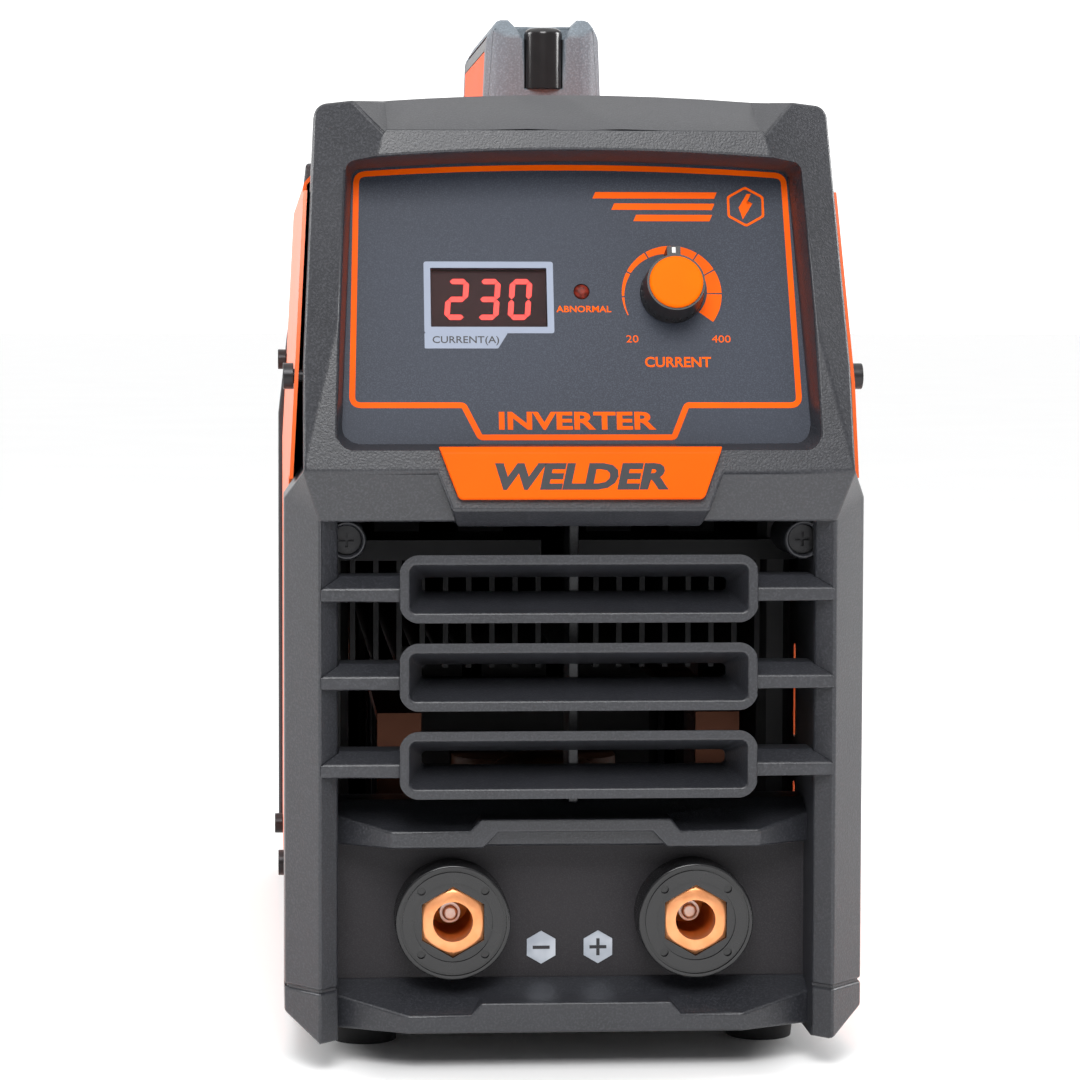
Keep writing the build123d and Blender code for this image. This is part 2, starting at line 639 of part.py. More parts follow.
with BuildPart() as badge_plate:
    lean = radians(FACE_LEAN)
    face_normal = Vector(0, -cos(lean), sin(lean))
    badge_plane = Plane((0, FRONT + face_depth(193.4), 193.4), x_dir=(1, 0, 0), z_dir=face_normal)
    with BuildSketch(badge_plane):
        shape((-45.2, 8.6), (45.2, 8.6), (38.9, -8.4), (-38.9, -8.4))
    extrude(amount=2.6)
    badge_top = badge_plate.edges().filter_by(Axis.X).sort_by(Axis.Z)[-1]
    chamfer(badge_top, length=1.5, length2=2.2)
    low_corners = [edge for edge in badge_plate.edges() if edge.center().Z < 190 and edge.length < 3]
    fillet(low_corners, radius=2.0)
save(badge_plate.part, "badge_plate")

with BuildPart() as bezel_screws:
    with BuildSketch(front_plane(15.5)):
        with Locations(*BOSSES):
            Circle(4.6)
    extrude(amount=-2.5)
    with BuildSketch(front_plane(18)):
        with Locations(*BOSSES):
            Circle(2.5)
    extrude(amount=-22)
    with BuildSketch(front_plane(15.5)):
        with Locations(*BOSSES):
            Rectangle(4.6, 0.9)
            Rectangle(0.9, 4.6)
    extrude(amount=-1.4, mode=Mode.SUBTRACT)
save(bezel_screws.part, "bezel_screws")

# ---------------------------------------------------------------- sheet-metal body
def cover_section(inset):
    """Half outline of the cover's outside, right-hand side from the bottom up, moved in by inset."""
    return [
        (COVER_HALF_WIDTH - inset, COVER_BOTTOM_Z),
        (COVER_HALF_WIDTH - inset, COVER_LEAN_Z),
        (COVER_SHOULDER_X - inset, COVER_SHOULDER_Z - 0.4 * inset),
        (COVER_SHOULDER_X - 7.4 - 0.6 * inset, COVER_TOP_Z - inset),
    ]


def mirrored(points):
    """The points followed by their mirror images, back down the other side."""
    return points + [(-x, z) for x, z in reversed(points)]


LOUVRE_SLOTS = 9


def cover_face_x(z):
    """Outside half-width of the cover at a height."""
    if z < COVER_LEAN_Z:
        return COVER_HALF_WIDTH
    lean = (COVER_HALF_WIDTH - COVER_SHOULDER_X) / (COVER_SHOULDER_Z - COVER_LEAN_Z)
    return COVER_HALF_WIDTH - (z - COVER_LEAN_Z) * lean


with BuildPart() as outer_cover:
    with BuildSketch(front_plane(COVER_FRONT_D)):
        shape(*mirrored(cover_section(0)))
    extrude(amount=-(COVER_BACK_D - COVER_FRONT_D))
    long_edges = outer_cover.edges().filter_by(Axis.Y).group_by(Axis.Z)
    fillet(long_edges[-1] + long_edges[-2], radius=4)
    with BuildSketch(front_plane(COVER_FRONT_D - 1)):
        shape(*mirrored([(x, z - (1 if z < 20 else 0)) for x, z in cover_section(SHEET)]))
    extrude(amount=-(COVER_BACK_D - COVER_FRONT_D + 2), mode=Mode.SUBTRACT)
    # the front edge steps back below the visor, behind the pillars
    with BuildSketch(side_plane(-100)):
        side_profile(
            (0, 0),
            (PILLAR_DEPTH + 0.3, 0),
            (PILLAR_DEPTH + 0.3, 191),
            (13, 191),
            (15, 222),
            (36, 291),
            (36, 310),
            (0, 310),
        )
    extrude(amount=200, mode=Mode.SUBTRACT)
    # the shoulders and top start behind the visor
    with BuildSketch(side_plane(-100)):
        side_profile((0, 284), (VISOR_BACK + 0.3, 284), (VISOR_BACK + 0.3, 300), (0, 300))
    extrude(amount=200, mode=Mode.SUBTRACT)
    # two rows of cooling slots on each side
    with BuildSketch(side_plane(-100)):
        for row_z in (58, 108):
            with Locations((FRONT + 214, row_z)):
                with GridLocations(20, 1, LOUVRE_SLOTS, 1):
                    SlotOverall(34, 4.0, rotation=90)
    extrude(amount=200, mode=Mode.SUBTRACT)
    for depth, screw_z in COVER_SCREWS:
        with BuildSketch(side_plane(-100)):
            with Locations((FRONT + depth, screw_z)):
                Circle(2.7)
        extrude(amount=200, mode=Mode.SUBTRACT)
    with BuildSketch(Plane.XY.offset(COVER_TOP_Z + 1)):
        with Locations(*HANDLE_BOLTS):
            Circle(2.7)
    extrude(amount=-4, mode=Mode.SUBTRACT)
save(outer_cover.part, "outer_cover")

SCREW_HEAD_R, SCREW_HEAD_LENGTH = 4.25, 3.4
with BuildPart() as cover_screws:
    for depth, screw_z in COVER_SCREWS:
        for side in (-1, 1):
            lean_gap = 0.3 if screw_z > COVER_LEAN_Z else 0.05
            face_x = side * (cover_face_x(screw_z) + lean_gap)
            with BuildSketch(side_plane(face_x)):
                with Locations((FRONT + depth, screw_z)):
                    Circle(SCREW_HEAD_R)
            extrude(amount=side * SCREW_HEAD_LENGTH)
            with BuildSketch(side_plane(face_x)):
                with Locations((FRONT + depth, screw_z)):
                    Circle(2.4)
            extrude(amount=-side * 3.2)
            with BuildSketch(side_plane(face_x + side * SCREW_HEAD_LENGTH)):
                with Locations((FRONT + depth, screw_z)):
                    RegularPolygon(2.0, 6, major_radius=False)
            extrude(amount=-side * 2.2, mode=Mode.SUBTRACT)
save(cover_screws.part, "cover_screws")

BASE_Z = FOOT_HEIGHT
BASE_THICK = 1.5
BASE_HALF_WIDTH = 90.6
with BuildPart() as base_plate:
    # folded pan
    with BuildSketch(front_plane(PILLAR_DEPTH + 1)):
        shape(
            (-BASE_HALF_WIDTH, BASE_Z),
            (BASE_HALF_WIDTH, BASE_Z),
            (BASE_HALF_WIDTH, BASE_Z + 24),
            (BASE_HALF_WIDTH - BASE_THICK, BASE_Z + 24),
            (BASE_HALF_WIDTH - BASE_THICK, BASE_Z + BASE_THICK),
            (-BASE_HALF_WIDTH + BASE_THICK, BASE_Z + BASE_THICK),
            (-BASE_HALF_WIDTH + BASE_THICK, BASE_Z + 24),
            (-BASE_HALF_WIDTH, BASE_Z + 24),
        )
    extrude(amount=-(REAR_START_D - PILLAR_DEPTH - 2))
    with BuildSketch(Plane.XY.offset(BASE_Z)):
        with Locations(*FEET):
            Circle(2.6)
    extrude(amount=BASE_THICK, mode=Mode.SUBTRACT)
    with BuildSketch(side_plane(-100)):
        with Locations((FRONT + SCREW_BACK_LOW[0], SCREW_BACK_LOW[1])):
            Circle(2.5)
    extrude(amount=200, mode=Mode.SUBTRACT)
save(base_plate.part, "base_plate")

with BuildPart() as rubber_feet:
    for centre in FEET:
        with BuildSketch(Plane.XY):
            with Locations(centre):
                Circle(FOOT_R - 1.4)
        with BuildSketch(Plane.XY.offset(FOOT_HEIGHT)):
            with Locations(centre):
                Circle(FOOT_R)
        loft(ruled=True)
    # sunk screw holes
    with BuildSketch(Plane.XY.offset(4)):
        with Locations(*FEET):
            Circle(5.4)
    extrude(amount=-4, mode=Mode.SUBTRACT)
    with BuildSketch(Plane.XY):
        with Locations(*FEET):
            Circle(2.6)
    extrude(amount=FOOT_HEIGHT, mode=Mode.SUBTRACT)
    fillet(rubber_feet.faces().sort_by(Axis.Z)[0].outer_wire().edges(), radius=1.2)
save(rubber_feet.part, "rubber_feet")

with BuildPart() as foot_screws:
    with BuildSketch(Plane.XY.offset(1.2)):
        with Locations(*FEET):
            Circle(4.8)
    extrude(amount=2.8)
    with BuildSketch(Plane.XY.offset(4)):
        with Locations(*FEET):
            Circle(2.5)
    extrude(amount=13)
    with BuildSketch(Plane.XY.offset(BASE_Z + BASE_THICK)):
        with Locations(*FEET):
            RegularPolygon(4, 6, major_radius=False)
    extrude(amount=4)
save(foot_screws.part, "foot_screws")

# ---------------------------------------------------------------- rear bezel, fan and inlet
FAN_BORE_R = 57.0
FAN_SCREW_PITCH = 105.0
SWITCH_X, SWITCH_Z = -48.0, 232.0
GLAND_X, GLAND_Z = 48.0, 232.0
EARTH_X, EARTH_Z = 78.0, 40.0
SWITCH_HOLE = (22.2, 30.2)

with BuildPart() as rear_bezel:
    with BuildSketch(front_plane(REAR_START_D)):
        with BuildLine():
            Polyline(
                (82, 308),
                (PILLAR_HALF_WIDTH, 200),
                (PILLAR_HALF_WIDTH, 18.5),
                (RIDGE_X, BEZEL_BOTTOM),
                (-RIDGE_X, BEZEL_BOTTOM),
                (-PILLAR_HALF_WIDTH, 18.5),
                (-PILLAR_HALF_WIDTH, 200),
                (-82, 308),
            )
            ThreePointArc((-82, 308), (0, 312), (82, 308))
        make_face()
    extrude(amount=-(BACK_D - REAR_START_D))
    back_rim = rear_bezel.faces().sort_by(Axis.Y)[-1].outer_wire().edges()
    chamfer(back_rim, length=6)
    # hollow inside, leaving the back wall
    with BuildSketch(front_plane(REAR_START_D)):
        shape(*mirrored([(88, 16), (88, 200), (77, 302)]))
    extrude(amount=-(BACK_D - REAR_START_D - 4), mode=Mode.SUBTRACT)
    # rebate that takes the cover's rear edge
    with BuildSketch(front_plane(REAR_START_D - 1)):
        shape((-100, 0), (100, 0), (100, 320), (-100, 320))
        inside_cover = mirrored(cover_section(SHEET + 0.3))
        Polygon(*[(x, max(z, FOOT_HEIGHT)) for x, z in inside_cover], align=None, mode=Mode.SUBTRACT)
    extrude(amount=-(COVER_BACK_D - REAR_START_D + 1.3), mode=Mode.SUBTRACT)
    # openings for the fan, switch, gland and earth stud
    with BuildSketch(front_plane(BACK_D + 1)):
        with Locations((0, FAN_Z)):
            Circle(FAN_BORE_R)
            with GridLocations(FAN_SCREW_PITCH, FAN_SCREW_PITCH, 2, 2):
                Circle(2.3)
        with Locations((SWITCH_X, SWITCH_Z)):
            Rectangle(*SWITCH_HOLE)
        with Locations((GLAND_X, GLAND_Z)):
            Circle(10.1)
        with Locations((EARTH_X, EARTH_Z)):
            Circle(3.1)
    extrude(amount=10, mode=Mode.SUBTRACT)
save(rear_bezel.part, "rear_bezel")

WALL_D = BACK_D - 4.0      # inside face of the rear bezel's wall
FAN_FRONT_D = WALL_D - FAN_THICK
STATOR_R = 12.0

with BuildPart() as fan_frame:
    with BuildSketch(front_plane(FAN_FRONT_D, z=FAN_Z)):
        RectangleRounded(FAN_SIZE, FAN_SIZE, 6)
        Circle(FAN_BORE_R, mode=Mode.SUBTRACT)
        with GridLocations(FAN_SCREW_PITCH, FAN_SCREW_PITCH, 2, 2):
            Circle(2.3, mode=Mode.SUBTRACT)
    extrude(amount=-FAN_THICK)
    with BuildSketch(front_plane(FAN_FRONT_D + 4, z=FAN_Z)):
        Rectangle(140, 140)
        RectangleRounded(FAN_SIZE - 7, FAN_SIZE - 7, 30, mode=Mode.SUBTRACT)
        Circle(FAN_BORE_R + 1.6, mode=Mode.SUBTRACT)
    extrude(amount=-(FAN_THICK - 8), mode=Mode.SUBTRACT)
    # spider and bearing post on the inward side
    with BuildSketch(front_plane(FAN_FRONT_D, z=FAN_Z)):
        Circle(20)
        with PolarLocations(38, 4, start_angle=45):
            Rectangle(40, 4.5)
    extrude(amount=-3)
    with BuildSketch(front_plane(FAN_FRONT_D + 3, z=FAN_Z)):
        Circle(STATOR_R)
    extrude(amount=-20)
save(fan_frame.part, "fan_frame")

HUB_R = 21.0
BLADES = 7
with BuildPart() as fan_rotor:
    with BuildSketch(front_plane(FAN_FRONT_D + 4, z=FAN_Z)):
        Circle(HUB_R)
    extrude(amount=-24.5)
    fillet(fan_rotor.edges().filter_by(GeomType.CIRCLE).sort_by(Axis.Y)[-1], radius=2)
    # twisted blades
    for blade in range(BLADES):
        angle = radians(360 * blade / BLADES)
        radial = Vector(cos(angle), 0, sin(angle))
        hub_centre = Vector(0, FRONT + FAN_FRONT_D + 17, FAN_Z)
        for reach, chord, pitch in ((HUB_R - 1.5, 17, 50), (FAN_BORE_R - 1.8, 27, 28)):
            section = Plane(hub_centre + radial * reach, x_dir=(0, 1, 0), z_dir=radial)
            with BuildSketch(section):
                SlotOverall(chord, 1.6, rotation=pitch)
        loft(ruled=True)
    with BuildSketch(front_plane(FAN_FRONT_D + 4, z=FAN_Z)):
        Circle(STATOR_R + 0.06)
    extrude(amount=-19.5, mode=Mode.SUBTRACT)
save(fan_rotor.part, "fan_rotor")

WIRE_R = 1.1
GUARD_RINGS = (14, 24, 34, 44, 54)
GUARD_Y = FRONT + BACK_D + 3.6
with BuildPart() as fan_guard:
    # wire rings over two crossed spokes that end in screw eyes
    for ring_r in GUARD_RINGS:
        wire_plane = Plane((ring_r, GUARD_Y, FAN_Z), x_dir=(1, 0, 0), z_dir=(0, 0, 1))
        with BuildSketch(wire_plane):
            Circle(WIRE_R)
        revolve(axis=Axis((0, GUARD_Y, FAN_Z), (0, 1, 0)), revolution_arc=360)
    with BuildSketch(front_plane(BACK_D + 1.0, z=FAN_Z)):
        with PolarLocations(37, 4, start_angle=45):
            Rectangle(74, 2.6)
    extrude(amount=-2.2)
    with BuildSketch(front_plane(BACK_D + 0.2, z=FAN_Z)):
        with GridLocations(FAN_SCREW_PITCH, FAN_SCREW_PITCH, 2, 2):
            Circle(4.6)
    extrude(amount=-3.0)
    with BuildSketch(front_plane(BACK_D, z=FAN_Z)):
        with GridLocations(FAN_SCREW_PITCH, FAN_SCREW_PITCH, 2, 2):
            Circle(2.3)
    extrude(amount=-6.0, mode=Mode.SUBTRACT)
    with BuildSketch(front_plane(BACK_D + 1.0, z=FAN_Z)):
        Circle(16)
    extrude(amount=-1.8)
save(fan_guard.part, "fan_guard")

with BuildPart() as fan_screws:
    with BuildSketch(front_plane(BACK_D + 3.3, z=FAN_Z)):
        with GridLocations(FAN_SCREW_PITCH, FAN_SCREW_PITCH, 2, 2):
            Circle(4.0)
    extrude(amount=-2.4)
    with BuildSketch(front_plane(BACK_D + 3.3, z=FAN_Z)):
        with GridLocations(FAN_SCREW_PITCH, FAN_SCREW_PITCH, 2, 2):
            Circle(2.15)
    extrude(amount=FAN_THICK + 9)
    with BuildSketch(front_plane(BACK_D + 5.7, z=FAN_Z)):
        with GridLocations(FAN_SCREW_PITCH, FAN_SCREW_PITCH, 2, 2):
            Rectangle(4.6, 0.8)
            Rectangle(0.8, 4.6)
    extrude(amount=1.2, mode=Mode.SUBTRACT)
save(fan_screws.part, "fan_screws")

# ---- power switch: a body snapped into the rear wall, and a rocker on its pivot
SWITCH_PROUD = 2.0
ROCKER_SIZE = (17.4, 25.0)
ROCKER_PIVOT_D = BACK_D - 3.0
ROCKER_TILT = 9.0          # degrees each side of level
PIVOT_R = 1.5

with BuildPart() as power_switch_body:
    with BuildSketch(front_plane(BACK_D + 0.05, SWITCH_X, SWITCH_Z)):
        RectangleRounded(26, 34, 2)
    extrude(amount=-SWITCH_PROUD)
    with BuildSketch(front_plane(BACK_D + 0.05, SWITCH_X, SWITCH_Z)):
        Rectangle(SWITCH_HOLE[0] - 0.2, SWITCH_HOLE[1] - 0.2)
    extrude(amount=24)
    with BuildSketch(front_plane(BACK_D + 3, SWITCH_X, SWITCH_Z)):
        Rectangle(ROCKER_SIZE[0] + 0.8, ROCKER_SIZE[1] + 1.8)
    extrude(amount=16, mode=Mode.SUBTRACT)
    with BuildSketch(side_plane(SWITCH_X - 12)):
        with Locations((FRONT + ROCKER_PIVOT_D, SWITCH_Z)):
            Circle(PIVOT_R + 0.05)
    extrude(amount=24, mode=Mode.SUBTRACT)
    # spade terminals
    with BuildSketch(front_plane(BACK_D - 23, SWITCH_X, SWITCH_Z)):
        with GridLocations(11, 11, 2, 2):
            Rectangle(0.8, 6.3)
    extrude(amount=9)
save(power_switch_body.part, "power_switch_body")

with BuildPart() as power_switch_rocker:
    # shallow vee face; at rest its lower half is pressed in
    with BuildSketch(side_plane(SWITCH_X - ROCKER_SIZE[0] / 2)):
        half = ROCKER_SIZE[1] / 2 - 0.4
        lean = tan(radians(ROCKER_TILT))
        pivot_d = ROCKER_PIVOT_D
        face_d = pivot_d + 5.2
        side_profile(
            (pivot_d - 4, SWITCH_Z - half + 3),
            (pivot_d - 4, SWITCH_Z + half - 3),
            (face_d - 2.0, SWITCH_Z + half),
            (face_d + 2 * half * lean * 0.62, SWITCH_Z + half - 0.6),
            (face_d - 1.2, SWITCH_Z),
            (face_d - 1.2, SWITCH_Z - half),
            (pivot_d, SWITCH_Z - half),
        )
    extrude(amount=ROCKER_SIZE[0])
    with BuildSketch(side_plane(SWITCH_X - ROCKER_SIZE[0] / 2 - 1.5)):
        with Locations((FRONT + ROCKER_PIVOT_D, SWITCH_Z)):
            Circle(PIVOT_R)
    extrude(amount=ROCKER_SIZE[0] + 3)
save(power_switch_rocker.part, "power_switch_rocker")

# ---- cable gland and its nut; earth stud
with BuildPart() as cable_gland:
    with BuildSketch(front_plane(BACK_D + 0.05, GLAND_X, GLAND_Z)):
        RegularPolygon(13.5, 6, major_radius=False)
    extrude(amount=-5)
    with BuildSketch(front_plane(BACK_D + 5, GLAND_X, GLAND_Z)):
        Circle(11.8)
    with BuildSketch(front_plane(DEPTH - PROUD, GLAND_X, GLAND_Z)):
        Circle(8.6)
    loft()
    with BuildSketch(front_plane(BACK_D + 0.05, GLAND_X, GLAND_Z)):
        Circle(10)
    extrude(amount=14)
    with BuildSketch(front_plane(DEPTH, GLAND_X, GLAND_Z)):
        Circle(6.5)
    extrude(amount=60, mode=Mode.SUBTRACT)
save(cable_gland.part, "cable_gland")

with BuildPart() as gland_nut:
    with BuildSketch(front_plane(WALL_D - 0.1, GLAND_X, GLAND_Z)):
        RegularPolygon(13.0, 6, major_radius=False)
        Circle(10.03, mode=Mode.SUBTRACT)
    extrude(amount=4.5)
save(gland_nut.part, "gland_nut")

with BuildPart() as earth_stud:
    with BuildSketch(front_plane(BACK_D + 11, EARTH_X, EARTH_Z)):
        Circle(3.0)
    extrude(amount=24)
    with BuildSketch(front_plane(BACK_D + 0.1, EARTH_X, EARTH_Z)):
        Circle(6.5)
    extrude(amount=-1.2)
    with BuildSketch(front_plane(BACK_D + 1.3, EARTH_X, EARTH_Z)):
        RegularPolygon(5, 6, major_radius=False)
    extrude(amount=-4.8)
    with BuildSketch(front_plane(WALL_D - 0.1, EARTH_X, EARTH_Z)):
        RegularPolygon(5, 6, major_radius=False)
    extrude(amount=4.8)
save(earth_stud.part, "earth_stud")

# ---------------------------------------------------------------- carrying handle
HANDLE_FOOT_Z = COVER_TOP_Z + 0.05
GRIP_LOW_Z = 324.0
INSERT_R = 6.9
INSERT_LOW_Z, INSERT_TOP_Z = 324.6, 346.1
SIDE_INSERT_LOW_Z, SIDE_INSERT_TOP_Z = 319.0, 339.9
SIDE_POCKET_X = 18.5
SIDE_INSERT_D = (HANDLE_FRONT_D + 14, HANDLE_BACK_D - 14)
side_length = SIDE_INSERT_D[1] - SIDE_INSERT_D[0]
SADDLE_DROP = 2.2
SCOOP_DEPTH = 8.0

with BuildPart() as handle_bridge:
    # side view: two posts joined by the grip
    with BuildSketch(side_plane(-HANDLE_HALF_WIDTH - 2)) as side_view:
        side_profile(
            (HANDLE_FRONT_D, HANDLE_FOOT_Z),
            (HANDLE_FRONT_D, HANDLE_TOP_Z - 6),
            (HANDLE_FRONT_D + 6, HANDLE_TOP_Z),
            (HANDLE_BACK_D - 6, HANDLE_TOP_Z),
            (HANDLE_BACK_D, HANDLE_TOP_Z - 6),
            (HANDLE_BACK_D, HANDLE_FOOT_Z),
            (HANDLE_BACK_D - POST_LENGTH, HANDLE_FOOT_Z),
            (HANDLE_BACK_D - POST_LENGTH, GRIP_LOW_Z),
            (HANDLE_FRONT_D + POST_LENGTH, GRIP_LOW_Z),
            (HANDLE_FRONT_D + POST_LENGTH, HANDLE_FOOT_Z),
        )
        fillet(side_view.vertices().sort_by(Axis.Y)[4:6], radius=7)
    extrude(amount=2 * HANDLE_HALF_WIDTH + 4)
    # front view: tapering sides, bevelled shoulders, a saddle between two ears
    with BuildSketch(front_plane(HANDLE_FRONT_D - 1)):
        shape(
            *mirrored(
                [
                    (22.2, HANDLE_FOOT_Z),
                    (20.2, HANDLE_TOP_Z - 6.5),
                    (16.6, HANDLE_TOP_Z - 0.6),
                    (15.0, HANDLE_TOP_Z),
                    (12.4, HANDLE_TOP_Z),
                    (10.4, HANDLE_TOP_Z - SADDLE_DROP),
                ]
            )
        )
    extrude(amount=-(HANDLE_BACK_D - HANDLE_FRONT_D + 2), mode=Mode.INTERSECT)
    # the saddle's front end is scooped down round the insert
    with BuildSketch(front_plane(HANDLE_FRONT_D - 1)):
        scoop = [(11.0, HANDLE_TOP_Z - 1.4), (7.4, HANDLE_TOP_Z - 7.2), (INSERT_R, HANDLE_TOP_Z - 7.4)]
        shape(*mirrored([(11.0, HANDLE_TOP_Z + 1)] + scoop))
    extrude(amount=-(SCOOP_DEPTH + 1), mode=Mode.SUBTRACT)
    # shallow pockets along the sides for the coloured inserts and their caps
    with BuildSketch(front_plane(SIDE_INSERT_D[0] - 0.05)):
        pocket = [
            (SIDE_POCKET_X, SIDE_INSERT_LOW_Z - 0.05),
            (26, SIDE_INSERT_LOW_Z - 0.05),
            (26, SIDE_INSERT_TOP_Z + 5.5),
            (SIDE_POCKET_X, SIDE_INSERT_TOP_Z + 4.8),
        ]
        shape(*pocket)
        shape(*[(-x, z) for x, z in pocket])
    extrude(amount=-(side_length + 0.1), mode=Mode.SUBTRACT)
    # plan view: two bevels on each corner
    with BuildSketch(Plane.XY.offset(HANDLE_FOOT_Z)):
        corner = [(13.2, 0), (17.2, 2.2), (HANDLE_HALF_WIDTH + 2, 8.5)]
        front_corner = [(x, FRONT + HANDLE_FRONT_D + d) for x, d in corner]
        back_corner = [(x, FRONT + HANDLE_BACK_D - d) for x, d in reversed(corner)]
        shape(*mirrored(front_corner + back_corner))
    extrude(amount=80, mode=Mode.INTERSECT)
    # pocket for the front insert
    with BuildSketch(Plane.XY.offset(INSERT_LOW_Z)):
        with Locations((0, FRONT + HANDLE_FRONT_D + 3.5)):
            Circle(INSERT_R)
            Rectangle(2 * INSERT_R, 12, align=(Align.CENTER, Align.MAX))
    extrude(amount=40, mode=Mode.SUBTRACT)
    # tapped holes for the bolts
    with BuildSketch(Plane.XY.offset(HANDLE_FOOT_Z)):
        with Locations(*HANDLE_BOLTS):
            Circle(2.5)
    extrude(amount=12, mode=Mode.SUBTRACT)
save(handle_bridge.part, "handle_bridge")

with BuildPart() as handle_front_insert:
    with BuildSketch(Plane.XY.offset(INSERT_LOW_Z)):
        with Locations((0, FRONT + HANDLE_FRONT_D + 3.5)):
            Circle(INSERT_R - 0.05)
    extrude(amount=INSERT_TOP_Z - INSERT_LOW_Z)
    fillet(handle_front_insert.edges().filter_by(GeomType.CIRCLE).sort_by(Axis.Z)[-1], radius=2.4)
save(handle_front_insert.part, "handle_front_insert")

with BuildPart() as handle_side_inserts:
    with BuildSketch(front_plane(SIDE_INSERT_D[0])):
        shape(
            (SIDE_POCKET_X + 0.05, SIDE_INSERT_LOW_Z),
            (21.1, SIDE_INSERT_LOW_Z),
            (20.4, SIDE_INSERT_TOP_Z - 1.3),
            (SIDE_POCKET_X + 0.05, SIDE_INSERT_TOP_Z - 0.4),
        )
    extrude(amount=-side_length)
    mirror(about=Plane.YZ)
save(handle_side_inserts.part, "handle_side_inserts")

with BuildPart() as handle_side_caps:
    with BuildSketch(front_plane(SIDE_INSERT_D[0])):
        shape(
            (SIDE_POCKET_X + 0.05, SIDE_INSERT_TOP_Z - 0.35),
            (20.4, SIDE_INSERT_TOP_Z - 1.25),
            (20.1, SIDE_INSERT_TOP_Z + 2.6),
            (SIDE_POCKET_X + 0.05, SIDE_INSERT_TOP_Z + 4.7),
        )
    extrude(amount=-side_length)
    mirror(about=Plane.YZ)
save(handle_side_caps.part, "handle_side_caps")

with BuildPart() as handle_bolts:
    with BuildSketch(Plane.XY.offset(COVER_TOP_Z - SHEET - 5)):
        with Locations(*HANDLE_BOLTS):
            RegularPolygon(5, 6, major_radius=False)
    extrude(amount=4.95)
    with BuildSketch(Plane.XY.offset(COVER_TOP_Z - SHEET - 5)):
        with Locations(*HANDLE_BOLTS):
            Circle(2.48)
    extrude(amount=16)
save(handle_bolts.part, "handle_bolts")

# ---------------------------------------------------------------- power electronics
FLOOR_Z = BASE_Z + BASE_THICK
POST_X, POST_DS = 77.0, (96.0, 318.0)
SINK_LOW_Z, SINK_HIGH_Z = 122.0, 166.0
SINK_DS = (86.0, 330.0)
BOARD_Z = 184.0
BOARD_DS = (78.0, 332.0)
BOARD_HALF_WIDTH = 80.0

with BuildPart() as chassis_posts:
    for post_d in POST_DS:
        with BuildSketch(Plane.XY.offset(FLOOR_Z)):
            with Locations((-POST_X, FRONT + post_d), (POST_X, FRONT + post_d)):
                RegularPolygon(5, 6, major_radius=False)
        extrude(amount=BOARD_Z - FLOOR_Z)
save(chassis_posts.part, "chassis_posts")

with BuildPart() as power_heatsinks:
    # two finned extrusions carried between the posts
    for side in (-1, 1):
        with BuildSketch(front_plane(SINK_DS[0])):
            with Locations((side * 38, SINK_HIGH_Z)):
                Rectangle(66, 7, align=(Align.CENTER, Align.MAX))
            for fin in range(9):
                with Locations((side * 38 - 32 + 8 * fin, SINK_HIGH_Z - 6)):
                    Rectangle(1.8, SINK_HIGH_Z - SINK_LOW_Z - 6, align=(Align.CENTER, Align.MAX))
        extrude(amount=-(SINK_DS[1] - SINK_DS[0]))
        for post_d in POST_DS:
            with BuildSketch(Plane.XY.offset(SINK_HIGH_Z - 7)):
                with Locations((side * 76, FRONT + post_d)):
                    Rectangle(16, 16)
                with Locations((side * POST_X, FRONT + post_d)):
                    RegularPolygon(5.02, 6, major_radius=False, mode=Mode.SUBTRACT)
            extrude(amount=7)
save(power_heatsinks.part, "power_heatsinks")

with BuildPart() as transistor_modules:
    for side in (-1, 1):
        with BuildSketch(Plane.XY.offset(SINK_HIGH_Z)):
            with Locations((side * 38, FRONT + 208)):
                with GridLocations(30, 44, 2, 4):
                    Rectangle(16, 21)
        extrude(amount=5)
save(transistor_modules.part, "transistor_modules")

with BuildPart() as main_board:
    with BuildSketch(Plane.XY.offset(BOARD_Z)):
        shape(
            (-BOARD_HALF_WIDTH, FRONT + BOARD_DS[0]),
            (BOARD_HALF_WIDTH, FRONT + BOARD_DS[0]),
            (BOARD_HALF_WIDTH, FRONT + BOARD_DS[1]),
            (-BOARD_HALF_WIDTH, FRONT + BOARD_DS[1]),
        )
    extrude(amount=1.6)
save(main_board.part, "main_board")

BOARD_TOP_Z = BOARD_Z + 1.6
with BuildPart() as smoothing_capacitors:
    with BuildSketch(Plane.XY.offset(BOARD_TOP_Z)):
        with Locations((0, FRONT + 150)):
            with GridLocations(38, 40, 4, 2):
                Circle(15)
    extrude(amount=45)
    fillet(smoothing_capacitors.faces().filter_by(Axis.Z).sort_by(Axis.Z)[-8:].edges(), radius=1.5)
save(smoothing_capacitors.part, "smoothing_capacitors")

with BuildPart() as input_rectifier:
    with BuildSketch(Plane.XY.offset(BOARD_TOP_Z)):
        with Locations((-42, FRONT + 240)):
            Rectangle(34, 30)
    extrude(amount=22)
save(input_rectifier.part, "input_rectifier")

with BuildPart() as supply_transformer:
    with BuildSketch(Plane.XY.offset(BOARD_TOP_Z)):
        with Locations((34, FRONT + 246)):
            Rectangle(46, 40)
    extrude(amount=38)
save(supply_transformer.part, "supply_transformer")

TRAFO_D = 196.0
with BuildPart() as transformer_core:
    # E core: outer limbs and yokes round the winding, centre limb inside it
    with BuildSketch(front_plane(TRAFO_D - 14)):
        shape((-44, FLOOR_Z), (44, FLOOR_Z), (44, 95), (-44, 95))
        with Locations((-21, 54.25), (21, 54.25)):
            Rectangle(20, 52, mode=Mode.SUBTRACT)
    extrude(amount=-28)
save(transformer_core.part, "transformer_core")

